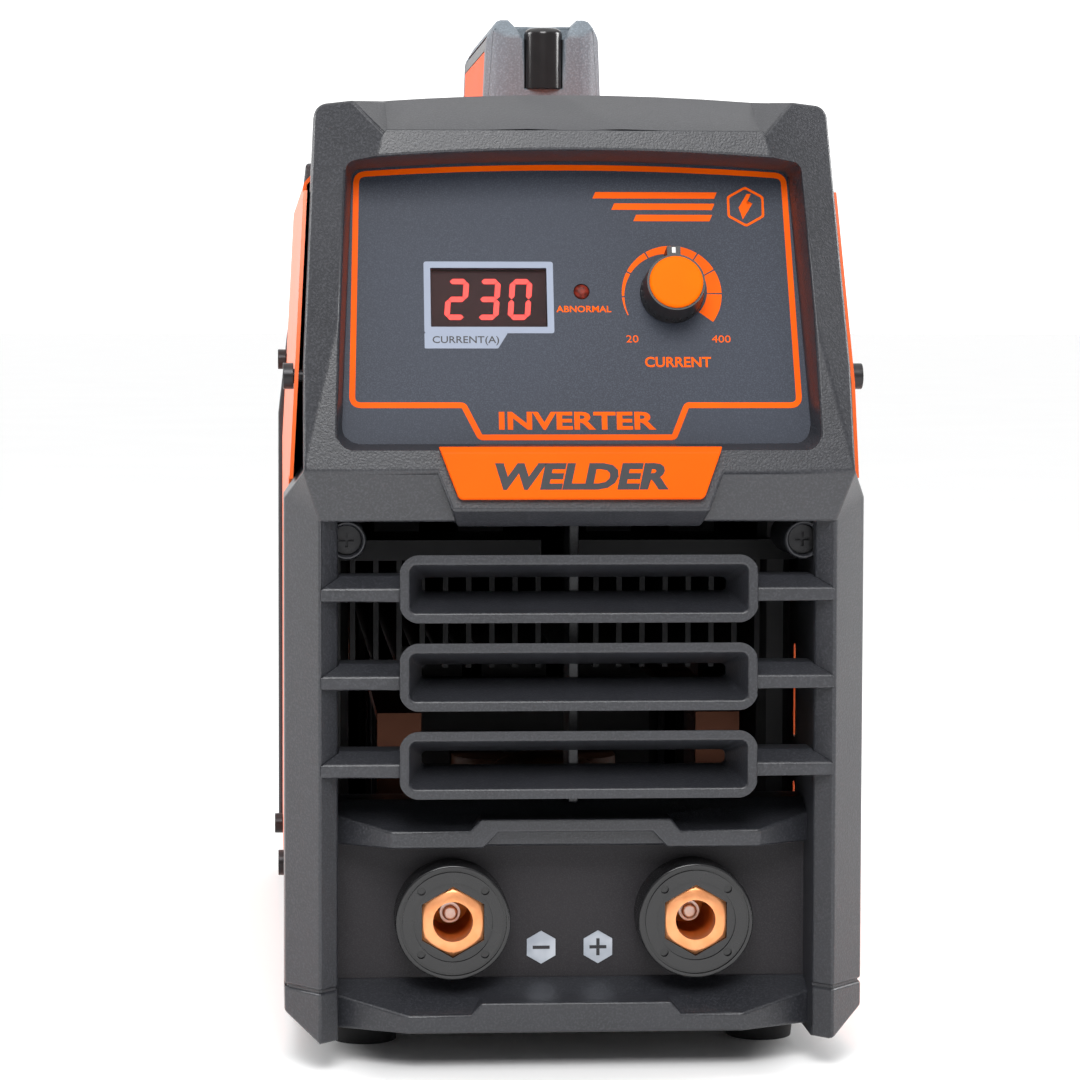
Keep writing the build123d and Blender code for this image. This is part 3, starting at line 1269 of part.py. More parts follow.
with BuildPart() as transformer_winding:
    with BuildSketch(Plane.XY.offset(29)):
        with Locations((0, FRONT + TRAFO_D)):
            RectangleRounded(61, 68, 14)
            Rectangle(22.4, 28.4, mode=Mode.SUBTRACT)
    extrude(amount=50.5)
save(transformer_winding.part, "transformer_winding")

CHOKE_D, CHOKE_Z = 124.0, 54.0
with BuildPart() as output_choke:
    with BuildSketch(Plane((24, FRONT + CHOKE_D, CHOKE_Z), x_dir=(1, 0, 0), z_dir=(0, 0, 1))):
        RectangleRounded(18, 34, 5)
    revolve(axis=Axis((0, FRONT + CHOKE_D, CHOKE_Z), (0, 1, 0)), revolution_arc=360)
save(output_choke.part, "output_choke")

with BuildPart() as choke_saddle:
    with BuildSketch(front_plane(CHOKE_D - 12)):
        shape((-26, FLOOR_Z), (26, FLOOR_Z), (26, 34), (-26, 34))
        with Locations((0, CHOKE_Z)):
            Circle(33.05, mode=Mode.SUBTRACT)
    extrude(amount=-24)
save(choke_saddle.part, "choke_saddle")

OUT_SINK_Z = (60.0, 98.0)
with BuildPart() as output_heatsink:
    with BuildSketch(front_plane(246)):
        with Locations((0, OUT_SINK_Z[1])):
            Rectangle(116, 7, align=(Align.CENTER, Align.MAX))
        for fin in range(15):
            with Locations((-56 + 8 * fin, OUT_SINK_Z[1] - 6)):
                Rectangle(1.8, OUT_SINK_Z[1] - OUT_SINK_Z[0] - 6, align=(Align.CENTER, Align.MAX))
    extrude(amount=-90)
    with BuildSketch(Plane.XY.offset(FLOOR_Z)):
        with Locations((0, FRONT + 291)):
            with GridLocations(108, 78, 2, 2):
                Rectangle(8, 8)
    extrude(amount=OUT_SINK_Z[1] - FLOOR_Z - 2)
save(output_heatsink.part, "output_heatsink")

with BuildPart() as output_rectifiers:
    with BuildSketch(Plane.XY.offset(OUT_SINK_Z[1])):
        with Locations((0, FRONT + 292)):
            with GridLocations(34, 40, 3, 1):
                Rectangle(26, 38)
    extrude(amount=12)
save(output_rectifiers.part, "output_rectifiers")

BAR_THICK = 3.0
BAR_D = INSERT_BACK_D + 3 + 5.3 + 0.1
with BuildPart() as copper_bars:
    # from each socket's bolt up the side and back to the power stage
    for side in (-1, 1):
        with BuildSketch(front_plane(BAR_D)):
            shape(
                (side * 32, 40),
                (side * 62, 40),
                (side * 62, 108),
                (side * 47, 108),
                (side * 47, 55),
                (side * 32, 55),
            )
        extrude(amount=-BAR_THICK)
        with BuildSketch(Plane.XY.offset(108 - BAR_THICK)):
            shape(
                (side * 47, FRONT + BAR_D),
                (side * 62, FRONT + BAR_D),
                (side * 62, FRONT + 240),
                (side * 47, FRONT + 240),
            )
        extrude(amount=BAR_THICK)
save(copper_bars.part, "copper_bars")

with BuildPart() as board_spacers:
    # carry the control board behind the control panel
    for x, v in ((-57, 17), (57, 17), (-57, 59), (57, 59)):
        z = PANEL_Z + v * cos(radians(PANEL_LEAN))
        with BuildSketch(panel_plane(x, z, out=-BOARD_BACK)):
            RegularPolygon(3, 6, major_radius=False)
        extrude(amount=BOARD_BACK - PANEL_THICK)
save(board_spacers.part, "board_spacers")
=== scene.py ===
import json
from math import cos, pi, radians, sin

import bmesh
import bpy
import numpy as np
from mathutils import Matrix, Vector


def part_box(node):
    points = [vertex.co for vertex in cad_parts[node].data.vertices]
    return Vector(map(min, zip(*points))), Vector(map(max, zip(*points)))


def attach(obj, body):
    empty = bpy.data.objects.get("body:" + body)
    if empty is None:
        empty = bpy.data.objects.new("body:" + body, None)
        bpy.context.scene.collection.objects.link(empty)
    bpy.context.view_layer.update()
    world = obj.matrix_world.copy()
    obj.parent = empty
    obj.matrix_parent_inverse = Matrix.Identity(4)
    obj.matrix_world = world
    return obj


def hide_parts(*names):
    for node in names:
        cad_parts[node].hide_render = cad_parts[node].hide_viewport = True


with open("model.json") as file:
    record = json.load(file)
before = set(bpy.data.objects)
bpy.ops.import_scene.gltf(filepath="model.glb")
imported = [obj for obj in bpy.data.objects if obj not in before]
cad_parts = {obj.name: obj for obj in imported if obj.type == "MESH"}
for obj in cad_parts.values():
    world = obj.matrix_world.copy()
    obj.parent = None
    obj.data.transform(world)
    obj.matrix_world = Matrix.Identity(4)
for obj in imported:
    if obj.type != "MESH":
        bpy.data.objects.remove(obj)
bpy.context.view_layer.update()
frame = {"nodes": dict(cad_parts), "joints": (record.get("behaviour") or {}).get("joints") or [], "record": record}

MM = 0.001
NODES = frame["nodes"]
RECORD = frame["record"]
JOINTS = {joint["name"]: joint for joint in frame["joints"]}
BODY_OF = {node: body for body, nodes in RECORD["behaviour"]["bodies"].items() for node in nodes}
SLOT_OF = {part["node"]: part["material_slot"] for part in RECORD["subparts"]}
NOISE_MIDDLE = 0.5
PATCH_LOW, PATCH_HIGH = 0.3, 0.7
SPECK_LOW, SPECK_HIGH = 0.42, 0.74
BOX_MIDDLE = (0.0, 0.0, 0.16)


# ---------------------------------------------------------------- shader expressions
class Wire:
    """An output socket of one material's tree. Operators add Math nodes, and node() adds any other."""

    def __init__(self, tree, socket=None):
        self.tree = tree
        self.socket = socket

    def node(self, kind, inputs=None, settings=None, out=0):
        """Adds a node: its settings first, then the value or the link of each socket."""
        made = self.tree.nodes.new("ShaderNode" + kind)
        for key, value in (settings or {}).items():
            setattr(made, key, value)
        for key, value in (inputs or {}).items():
            if isinstance(value, Wire):
                self.tree.links.new(value.socket, made.inputs[key])
            else:
                made.inputs[key].default_value = value
        return Wire(self.tree, made.outputs[out]) if made.outputs else None

    def math(self, operation, a, b=0.0):
        return self.node("Math", {0: a, 1: b}, {"operation": operation})

    def __add__(self, other):
        return self.math("ADD", self, other)

    def __sub__(self, other):
        return self.math("SUBTRACT", self, other)

    def __rsub__(self, other):
        return self.math("SUBTRACT", other, self)

    def __mul__(self, other):
        return self.math("MULTIPLY", self, other)

    def __gt__(self, other):
        return self.math("GREATER_THAN", self, other)

    __radd__ = __add__
    __rmul__ = __mul__

    def mix(self, factor, a, b):
        """Colour a where the factor is 0, colour b where it is 1."""
        inputs = {0: factor, 6: rgba(a), 7: rgba(b)}
        return self.node("Mix", inputs, {"data_type": "RGBA"}, out=2)

    def noise(self, place, size_mm, detail=2.0):
        """Noise from 0 to 1 whose features are about size_mm across."""
        return self.node("TexNoise", {"Vector": place, "Scale": 1 / (size_mm * MM), "Detail": detail})

    def ramp(self, value, low, high):
        """Rises smoothly from 0 at low to 1 at high."""
        settings = {"interpolation_type": "SMOOTHSTEP"}
        return self.node("MapRange", {"Value": value, "From Min": low, "From Max": high}, settings)

    def stretched(self, place, scale):
        """The place with each axis multiplied, which draws a pattern out along the small ones."""
        return self.node("VectorMath", {0: place, 1: scale}, {"operation": "MULTIPLY"})

    def height(self, value, depth_mm, normal=None):
        inputs = {"Strength": 1.0, "Distance": depth_mm * MM, "Height": value}
        if normal is not None:
            inputs["Normal"] = normal
        return self.node("Bump", inputs)


def rgba(value):
    return value if isinstance(value, Wire) else (*value, 1.0)


def finish(name, light, dark, rough, spread, grain_mm, depth_mm, patch_mm=28.0, speck=0.0, stretch=None,
           extra=None, **constants):
    """Two near colours in soft patches, uneven gloss, and a grain that shades the surface.

    extra(w, place, colour, rough, normal) may add to those three before they reach the shader.
    """
    material = bpy.data.materials.new(name)
    material.use_nodes = True
    material.node_tree.nodes.clear()
    w = Wire(material.node_tree)
    place = w.node("TexCoord", out="Object")
    fine = w.stretched(place, stretch) if stretch else place
    grain = w.noise(fine, grain_mm, detail=3.0)
    patches = w.noise(place, patch_mm)
    colour = w.mix(w.ramp(patches, PATCH_LOW, PATCH_HIGH), dark, light)
    if speck:
        paler = tuple(min(1.0, channel * (1 + speck) + 0.02 * speck) for channel in light)
        colour = w.mix(w.ramp(grain, SPECK_LOW, SPECK_HIGH), colour, paler)
    gloss = rough + (patches - NOISE_MIDDLE) * spread + (grain - NOISE_MIDDLE) * spread
    normal = w.height(grain, depth_mm)
    if extra:
        colour, gloss, normal = extra(w, place, colour, gloss, normal)
    inputs = {"Base Color": rgba(colour), "Roughness": gloss, "Normal": normal}
    for key, value in constants.items():
        inputs[key.replace("_", " ").title().replace("Ior", "IOR")] = value
    shader = w.node("BsdfPrincipled", inputs)
    w.node("OutputMaterial", {"Surface": shader})
    return material


# ---------------------------------------------------------------- finishes
GROOVE_PITCH_MM = 0.9


def cad_front(node):
    """The lowest y of a CAD piece's box, in metres: the front of it."""
    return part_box(node)[0].y


def socket_grooves_and_bore_shade(w, place, colour, gloss, normal):
    """Fine turned grooves along the bore, and painted shade deep inside it: the colour turns darker and redder
    towards the back of the bore. The groove's height is half of one plus the sine of a full turn for each pitch
    along y."""
    along = w.node("SeparateXYZ", {0: place}, out="Y")
    ridges = w.math("SINE", along * (2 * pi / (GROOVE_PITCH_MM * MM))) * 0.5 + 0.5
    mouth = cad_front("negative_socket_insert")
    deep = w.ramp(along, mouth + 1.5 * MM, mouth + 9 * MM)
    # the darker, redder copper towards the back of the bore is painted shade
    return w.mix(deep * 0.7, colour, (0.85, 0.30, 0.04)), gloss, w.height(ridges * deep, 0.25, normal)


def painted_inside_shade(w, place, colour, gloss, normal):
    """Painted shade on the sheet's inner side, where its own normal looks back at the box's middle: a near-black
    colour there stands in for the shade inside the box.
    """
    from_middle = w.node("VectorMath", {0: place, 1: BOX_MIDDLE}, {"operation": "SUBTRACT"})
    facing = w.node("NewGeometry", out="True Normal")
    outward = w.node("VectorMath", {0: from_middle, 1: facing}, {"operation": "DOT_PRODUCT"},
                     out="Value")
    # near-black painted shade wherever the sheet faces the box's middle
    return w.mix(outward > 0.0, (0.016, 0.016, 0.017), colour), gloss, normal


def turning_marks(w, place, colour, gloss, normal):
    rings = w.noise(w.stretched(place, (0.02, 1.0, 0.02)), 0.25)
    return w.mix(rings * 0.4, colour, (0.95, 0.85, 0.8)), gloss, normal


CHARCOAL = finish("charcoal_grained_plastic", (0.021, 0.022, 0.027), (0.017, 0.018, 0.022), 0.39, 0.10,
                  grain_mm=0.7, depth_mm=0.10, speck=0.45, specular_ior_level=0.6)
SMOOTH_CHARCOAL = finish("charcoal_smooth_plastic", (0.024, 0.022, 0.025), (0.020, 0.018, 0.021),
                         0.5, 0.08, grain_mm=0.4, depth_mm=0.03, speck=0.25, specular_ior_level=0.25)
PANEL = finish("panel_coat", (0.036, 0.042, 0.058), (0.031, 0.036, 0.050), 0.5, 0.08,
               grain_mm=0.4, depth_mm=0.03, patch_mm=60, speck=0.35, specular_ior_level=0.2)
# Orange powder coat, with near-black painted shade on its inner side.
ORANGE_PAINT = finish("orange_powder_coat", (0.92, 0.125, 0.004), (0.86, 0.11, 0.003), 0.38, 0.08,
                      grain_mm=1.6, depth_mm=0.03, patch_mm=80, coat_weight=0.1, coat_roughness=0.3,
                      extra=painted_inside_shade)
ORANGE_BADGE = finish("orange_badge_plastic", (0.94, 0.105, 0.0003), (0.90, 0.096, 0.0003), 0.45, 0.06,
                      grain_mm=0.7, depth_mm=0.012, patch_mm=50, specular_ior_level=0.08)
ORANGE_CAP = finish("orange_knob_plastic", (0.92, 0.145, 0.0003), (0.88, 0.135, 0.0003), 0.55, 0.06,
                    grain_mm=0.3, depth_mm=0.008, patch_mm=20, specular_ior_level=0.06)
ORANGE_PRINT = finish("orange_print", (0.94, 0.118, 0.001), (0.86, 0.10, 0.001), 0.5, 0.08,
                      grain_mm=0.45, depth_mm=0.01, patch_mm=25, specular_ior_level=0.08)
GLOSS_BLACK = finish("gloss_black_plastic", (0.014, 0.014, 0.015), (0.010, 0.010, 0.011), 0.2, 0.06,
                     grain_mm=0.7, depth_mm=0.006, patch_mm=12)
SATIN_BLACK = finish("satin_black_plastic", (0.014, 0.014, 0.015), (0.010, 0.010, 0.011), 0.42, 0.10,
                     grain_mm=0.5, depth_mm=0.02, patch_mm=15)
HANDLE_GREY = finish("grey_handle_plastic", (0.150, 0.178, 0.205), (0.125, 0.150, 0.175), 0.52, 0.10,
                     grain_mm=0.7, depth_mm=0.11, speck=0.35)
GLASS_DARK = finish("smoked_window", (0.05, 0.012, 0.012), (0.03, 0.008, 0.008), 0.3, 0.02,
                    grain_mm=1.5, depth_mm=0.004, patch_mm=20, alpha=0.22, specular_ior_level=0.08)
DISPLAY_BACK = finish("display_body", (0.030, 0.014, 0.015), (0.020, 0.010, 0.011), 0.5, 0.06,
                      grain_mm=0.6, depth_mm=0.01, patch_mm=9, specular_ior_level=0.2)
DIGIT = finish("lit_digit", (1.0, 0.05, 0.03), (0.9, 0.03, 0.02), 0.4, 0.05, grain_mm=0.5,
               depth_mm=0.005, patch_mm=4, emission_color=(1.0, 0.055, 0.045, 1.0), emission_strength=2.2)
LENS = finish("dark_red_lens", (0.20, 0.022, 0.012), (0.07, 0.010, 0.006), 0.4, 0.1,
              grain_mm=0.5, depth_mm=0.06, patch_mm=1.2, specular_ior_level=0.15)
# Machined copper-brass, with painted shade deep in the socket bore.
COPPER_BRASS = finish("machined_copper_brass", (0.92, 0.40, 0.18), (0.84, 0.33, 0.13), 0.36, 0.12,
                      grain_mm=0.25, depth_mm=0.01, patch_mm=5, metallic=0.8, extra=socket_grooves_and_bore_shade)
BRASS = finish("brass", (0.80, 0.55, 0.22), (0.68, 0.45, 0.17), 0.3, 0.12,
               grain_mm=0.25, depth_mm=0.01, patch_mm=6, metallic=1.0)
PIN = finish("turned_pin_steel", (0.86, 0.78, 0.74), (0.74, 0.64, 0.60), 0.48, 0.1,
             grain_mm=0.2, depth_mm=0.01, patch_mm=3, metallic=1.0, extra=turning_marks)
BLACK_SCREW = finish("black_oxide_steel", (0.035, 0.035, 0.037), (0.022, 0.022, 0.024), 0.34, 0.12,
                     grain_mm=0.3, depth_mm=0.015, patch_mm=4, metallic=0.6)
ZINC = finish("zinc_plated_steel", (0.64, 0.64, 0.61), (0.54, 0.54, 0.50), 0.34, 0.14,
              grain_mm=0.3, depth_mm=0.012, patch_mm=5, metallic=1.0)
SILVER = finish("silver_label_film", (0.50, 0.53, 0.58), (0.32, 0.35, 0.40), 0.38, 0.08,
                grain_mm=0.3, depth_mm=0.008, patch_mm=8, metallic=0.55)
GREY_PRINT = finish("grey_print", (0.25, 0.29, 0.38), (0.23, 0.265, 0.35), 0.5, 0.06,
                    grain_mm=0.4, depth_mm=0.008, patch_mm=25)
DARK_PRINT = finish("dark_print", (0.022, 0.022, 0.026), (0.016, 0.016, 0.02), 0.5, 0.06,
                    grain_mm=0.4, depth_mm=0.006, patch_mm=10)
WHITE_PRINT = finish("white_print", (0.82, 0.82, 0.80), (0.74, 0.74, 0.72), 0.5, 0.06,
                     grain_mm=0.3, depth_mm=0.006, patch_mm=5)
BASE_STEEL = finish("black_powder_coat", (0.045, 0.045, 0.048), (0.036, 0.036, 0.038), 0.45, 0.1,
                    grain_mm=1.4, depth_mm=0.03)
RUBBER = finish("foot_rubber", (0.014, 0.014, 0.015), (0.009, 0.009, 0.010), 0.72, 0.12,
                grain_mm=0.6, depth_mm=0.05, patch_mm=10)
BOARD = finish("green_solder_mask", (0.016, 0.12, 0.05), (0.012, 0.09, 0.04), 0.35, 0.1,
               grain_mm=1.2, depth_mm=0.02, patch_mm=14)
ANODISED = finish("black_anodised_aluminium", (0.030, 0.030, 0.032), (0.021, 0.021, 0.023), 0.42, 0.14,
                  grain_mm=0.6, depth_mm=0.02, stretch=(1, 0.05, 1), metallic=0.5)
MOULDED = finish("moulded_component", (0.024, 0.024, 0.026), (0.016, 0.016, 0.018), 0.45, 0.1,
                 grain_mm=0.5, depth_mm=0.02, patch_mm=8)
SLEEVE = finish("capacitor_sleeve", (0.018, 0.028, 0.07), (0.013, 0.02, 0.05), 0.28, 0.1,
                grain_mm=0.8, depth_mm=0.008, patch_mm=16)
FERRITE = finish("ground_ferrite", (0.062, 0.062, 0.066), (0.045, 0.045, 0.048), 0.5, 0.12,
                 grain_mm=0.5, depth_mm=0.03)
WINDING = finish("varnished_winding", (0.12, 0.045, 0.016), (0.08, 0.03, 0.011), 0.42, 0.1,
                 grain_mm=1.1, depth_mm=0.12, stretch=(1, 0.2, 1))
# Copper darkened far below bare copper: painted shade for the bars and windings deep inside the box.
COPPER = finish("copper_in_painted_shade", (0.13, 0.055, 0.035), (0.09, 0.038, 0.024), 0.45, 0.14,
                grain_mm=0.5, depth_mm=0.015, stretch=(1, 0.1, 1), metallic=1.0)
GUARD_WIRE = finish("plated_wire", (0.74, 0.75, 0.77), (0.62, 0.63, 0.65), 0.26, 0.12,
                    grain_mm=0.4, depth_mm=0.01, patch_mm=10, metallic=1.0)
FLOOR = finish("pale_floor", (0.95, 0.95, 0.95), (0.94, 0.94, 0.942), 0.8, 0.04,
               grain_mm=3.0, depth_mm=0.01, patch_mm=300)

FINISH_OF_SLOT = {
    "charcoal_plastic": CHARCOAL, "panel_coat": PANEL, "orange_badge": ORANGE_BADGE,
    "orange_paint": ORANGE_PAINT, "orange_plastic": ORANGE_BADGE, "black_gloss": GLOSS_BLACK,
    "black_plastic": SATIN_BLACK, "handle_plastic": HANDLE_GREY, "smoked_window": GLASS_DARK,
    "display": DISPLAY_BACK, "red_lens": LENS, "brass": BRASS, "pin_steel": PIN,
    "black_screw": BLACK_SCREW, "zinc_screw": ZINC, "label_silver": SILVER, "base_steel": BASE_STEEL,
    "foot_rubber": RUBBER, "board_green": BOARD, "heatsink": ANODISED, "module_black": MOULDED,
    "cap_sleeve": SLEEVE, "ferrite": FERRITE, "winding": WINDING, "copper": COPPER, "guard_wire": GUARD_WIRE,
}
FINISH_OF_NODE = {
    "socket_panel": SMOOTH_CHARCOAL, "negative_socket_insert": COPPER_BRASS,
    "positive_socket_insert": COPPER_BRASS, "knob_cap": ORANGE_CAP, "knob_skirt": SATIN_BLACK,
    "chassis_posts": BASE_STEEL,
}


def finish_of(node):
    return FINISH_OF_NODE.get(node, FINISH_OF_SLOT[SLOT_OF[node]])


for node, piece in NODES.items():
    for held in piece.material_slots:
        held.material = finish_of(node)


# ---------------------------------------------------------------- rounded copies of moulded pieces
CURVE_TURN = radians(14)   # an edge that turns less than this is part of a curve, and isn't rounded
CREASE_TURN = radians(32)  # an edge that turns more than this is shaded as a crease
FLAT_TURN = radians(0.4)   # faces that turn less than this from each other are joined into one
ROOM_WIDTHS = 2.2          # an edge is rounded if both its faces reach this many widths from it
BEVEL_SEGMENTS = 2
ROUNDED_DEPTH_MM = {"front_bezel": 46.0}   # edges further behind the piece's front stay sharp
ANY_DEPTH_MM = 1000.0


def depth_from(edge, face):
    """How far the face reaches from the edge's line: the longest cross product of the line's unit
    direction with the way from the edge's start to a corner of the face."""
    start = edge.verts[0].co
    along = (edge.verts[1].co - start).normalized()
    return max((vert.co - start).cross(along).length for vert in face.verts)


def rounded(node, width_mm):
    """The CAD piece with its doubles merged, flat faces joined and roomy convex edges rounded."""
    source = NODES[node].data
    points = np.empty(len(source.vertices) * 3, np.float32)
    source.vertices.foreach_get("co", points)
    corners = np.empty(len(source.loops), np.int32)
    source.loops.foreach_get("vertex_index", corners)
    mesh = bpy.data.meshes.new(node + "_moulded")
    mesh.from_pydata(points.reshape(-1, 3), [], corners.reshape(-1, 3))
    work = bmesh.new()
    work.from_mesh(mesh)
    bmesh.ops.remove_doubles(work, verts=work.verts, dist=0.002 * MM)
    bmesh.ops.dissolve_limit(work, angle_limit=FLAT_TURN, verts=work.verts, edges=work.edges)
    weight = work.edges.layers.float.new("bevel_weight_edge")
    last_y = cad_front(node) + ROUNDED_DEPTH_MM.get(node, ANY_DEPTH_MM) * MM
    for edge in work.edges:
        turn = edge.calc_face_angle_signed(0.0)
        edge.smooth = abs(turn) < CREASE_TURN
        if width_mm and turn > CURVE_TURN and edge.verts[0].co.y < last_y:
            room = min(depth_from(edge, face) for face in edge.link_faces)
            edge[weight] = 1.0 if room > ROOM_WIDTHS * width_mm * MM else 0.0
    for face in work.faces:
        face.smooth = True
    work.to_mesh(mesh)
    work.free()
    piece = bpy.data.objects.new(node + "_moulded", mesh)
    bpy.context.collection.objects.link(piece)
    mesh.materials.append(finish_of(node))
    if width_mm:
        bevel = piece.modifiers.new("edge_rounding", "BEVEL")
        bevel.limit_method = "WEIGHT"
        bevel.width = width_mm * MM
        bevel.segments = BEVEL_SEGMENTS
        bevel.use_clamp_overlap = False
        bevel.harden_normals = True
    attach(piece, BODY_OF[node])
    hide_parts(node)
    return piece


EDGE_ROUNDING_MM = {
    "front_bezel": 0.9, "louvre_grille": 0.7, "handle_bridge": 1.3, "rear_bezel": 0.9,
    "badge_plate": 0.45, "handle_side_inserts": 0.5, "handle_side_caps": 0.5, "fan_frame": 0.4,
    "power_switch_body": 0.4, "power_switch_rocker": 0.4, "cable_gland": 0.4, "knob_skirt": 0.0,
    "knob_cap": 0.0, "handle_front_insert": 0.0, "negative_socket_housing": 0.0,
    "positive_socket_housing": 0.0, "negative_socket_insert": 0.0, "positive_socket_insert": 0.0,
    "negative_socket_pin": 0.0, "positive_socket_pin": 0.0, "fault_lamp": 0.0, "rubber_feet": 0.0,
    "fan_rotor": 0.0, "fan_guard": 0.0, "cover_screws": 0.25, "outer_cover": 0.0,
    "smoothing_capacitors": 0.0, "output_choke": 0.0,
}
for node, width in EDGE_ROUNDING_MM.items():
    rounded(node, width)


# ---------------------------------------------------------------- planes that print and trim lie on
class Face:
    """A flat place: u runs right, v runs up it, w stands out of it, all in millimetres."""

    def __init__(self, origin, normal):
        self.origin = np.array(origin, float)
        out = np.array(normal, float)
        self.out = out / np.linalg.norm(out)
        self.right = np.cross((0.0, 0.0, 1.0), self.out)
        self.right /= np.linalg.norm(self.right)
        self.up = np.cross(self.out, self.right)

    def at(self, points):
        """Places in metres of an array of (u, v, w): the origin plus u right, v up and w out."""
        axes = np.stack((self.right, self.up, self.out))
        return self.origin + np.asarray(points, float) * MM @ axes


KNOB = JOINTS["knob_turn"]
PANEL_FACE = Face((0.0, KNOB["pos_m"][1], KNOB["pos_m"][2]), KNOB["axis"])
KNOB_U = KNOB["pos_m"][0] / MM
BADGE_LEAN = radians(12.15)
BADGE_THICK_MM = 2.6


def badge_face():
    """The badge's front, from the plate's front foot."""
    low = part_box("badge_plate")[0]
    foot = (0.0, low.y, low.z + BADGE_THICK_MM * MM * sin(BADGE_LEAN))
    return Face(foot, (0.0, -cos(BADGE_LEAN), sin(BADGE_LEAN)))


# ---------------------------------------------------------------- surfaces
def grid(points, ring=False):
    """Faces over a (rows, columns, 3) array: corner (row, column) joins (row, column + 1) and
    (row + 1, column). Each row closes on itself, and the last row on the first if ring is set."""
    rows, columns, _ = points.shape
    row = np.arange(rows if ring else rows - 1)[:, None]
    column = np.arange(columns)[None, :]
    after, beside = (row + 1) % rows, (column + 1) % columns
    quads = np.stack((row * columns + column, row * columns + beside,
                      after * columns + beside, after * columns + column), axis=-1)
    return points.reshape(-1, 3), quads.reshape(-1, 4)


def at_height(outline, w):
    """The (u, v) points of an outline with the same w given to each."""
    return np.column_stack((outline, np.full(len(outline), w)))


def band(outer, inner, low, high):
    """Solid ring between two closed outlines of equal count: up the outer one from low to high, across
    to the inner one, down it, and back."""
    levels = [(outer, low), (outer, high), (inner, high), (inner, low)]
    return grid(np.stack([at_height(line, w) for line, w in levels]), ring=True)


def plate(outline, low, high):
    """Solid plate with a convex outline: a band whose inner outline is its middle."""
    outline = np.asarray(outline, float)
    middle = np.repeat(outline.mean(0)[None], len(outline), 0)
    levels = [(middle, low), (outline, low), (outline, high), (middle, high)]
    return grid(np.stack([at_height(line, w) for line, w in levels]))


def soft_corners(corners, radius, steps=6):
    """Closed outline through the corners, each rounded by a quadratic curve that starts radius away from
    it: (1-t) squared of the start, 2t(1-t) of the corner and t squared of the end."""
    corners = np.asarray(corners, float)
    back = np.roll(corners, 1, 0) - corners
    ahead = np.roll(corners, -1, 0) - corners
    reach = np.asarray(radius, float) * np.ones(len(corners))
    start = corners + back / np.linalg.norm(back, axis=1)[:, None] * reach[:, None]
    end = corners + ahead / np.linalg.norm(ahead, axis=1)[:, None] * reach[:, None]
    t = np.linspace(0, 1, steps)[None, :, None]
    curve = (1 - t) ** 2 * start[:, None] + 2 * t * (1 - t) * corners[:, None] + t**2 * end[:, None]
    return curve.reshape(-1, 2)


def inwards(outline, distance):
    """An anticlockwise outline moved in: each point goes the distance along its left-hand normal, which
    is the line between its two neighbours turned by a right angle."""
    tangent = np.roll(outline, -1, 0) - np.roll(outline, 1, 0)
    tangent /= np.linalg.norm(tangent, axis=1)[:, None]
    return outline + np.column_stack((-tangent[:, 1], tangent[:, 0])) * distance


def crescent(radius, start, end, thin, thick, low, high):
    """Part of a ring: at t from 0 to 1 the angle is start + (end - start) t, and the width, taken inwards
    from the radius, is thin + (thick - thin) t."""
    t = np.linspace(0, 1, 14)
    angle = np.radians(start + (end - start) * t)
    inner = radius - (thin + (thick - thin) * t)
    arc = np.column_stack((np.cos(angle), np.sin(angle)))
    rim, bore = arc * radius, arc * inner[:, None]
    levels = [(rim, low), (rim, high), (bore, high), (bore, low)]
    strip = np.stack([at_height(line, w) for line, w in levels], axis=1)
    caps = np.stack([np.repeat(strip[k].mean(0)[None], 4, 0) for k in (0, -1)])
    return grid(np.concatenate((caps[:1], strip, caps[1:])))


def lettering(text, size, at, low, high, widen=1.0, weight=0.0, slant=0.0):
    """The text's outline filled and raised, as points and faces, with the middle of it at a place. Each
    point's u becomes u times widen plus v times slant."""
    curve = bpy.data.curves.new("lettering", "FONT")
    curve.body = text
    curve.size = size
    curve.extrude = (high - low) / 2
    curve.offset = weight
    curve.resolution_u = 3
    holder = bpy.data.objects.new("lettering", curve)
    bpy.context.collection.objects.link(holder)
    bpy.context.view_layer.update()
    mesh = bpy.data.meshes.new_from_object(holder.evaluated_get(bpy.context.evaluated_depsgraph_get()))
    bpy.data.objects.remove(holder)
    points = np.empty(len(mesh.vertices) * 3, np.float32)
    mesh.vertices.foreach_get("co", points)
    points = points.reshape(-1, 3).astype(float)
    faces = [tuple(polygon.vertices) for polygon in mesh.polygons]
    bpy.data.meshes.remove(mesh)
    points[:, :2] -= (points[:, :2].min(0) + points[:, :2].max(0)) / 2
    points[:, 0] = points[:, 0] * widen + points[:, 1] * slant
    points += (at[0], at[1], (low + high) / 2)
    return points, faces


def make(name, parts, face, look, body="root"):
    """Joins parts of points and faces, in a face's millimetres, into one closed piece."""
    points, faces, count = [], [], 0
    for some_points, some_faces in parts:
        points.append(face.at(some_points))
        faces += [tuple(int(corner) + count for corner in polygon) for polygon in some_faces]
        count += len(some_points)
    mesh = bpy.data.meshes.new(name)
    mesh.from_pydata(np.concatenate(points), [], faces)
    work = bmesh.new()
    work.from_mesh(mesh)
    bmesh.ops.remove_doubles(work, verts=work.verts, dist=0.001 * MM)
    bmesh.ops.dissolve_degenerate(work, edges=work.edges, dist=0.0005 * MM)
    bmesh.ops.recalc_face_normals(work, faces=work.faces)
    work.to_mesh(mesh)
    work.free()
    mesh.materials.append(look)
    piece = bpy.data.objects.new(name, mesh)
    bpy.context.collection.objects.link(piece)
    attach(piece, body)
    return piece


# ---------------------------------------------------------------- print on the control panel
INK_LOW, INK_HIGH = -0.02, 0.06
BORDER_HALF = 0.95
ARCH_HALF, ARCH_TOP, ARCH_RISE = 70.2, 43.2, 2.6
OUTER_RADIUS, DIP_RADIUS = 3.0, 0.9


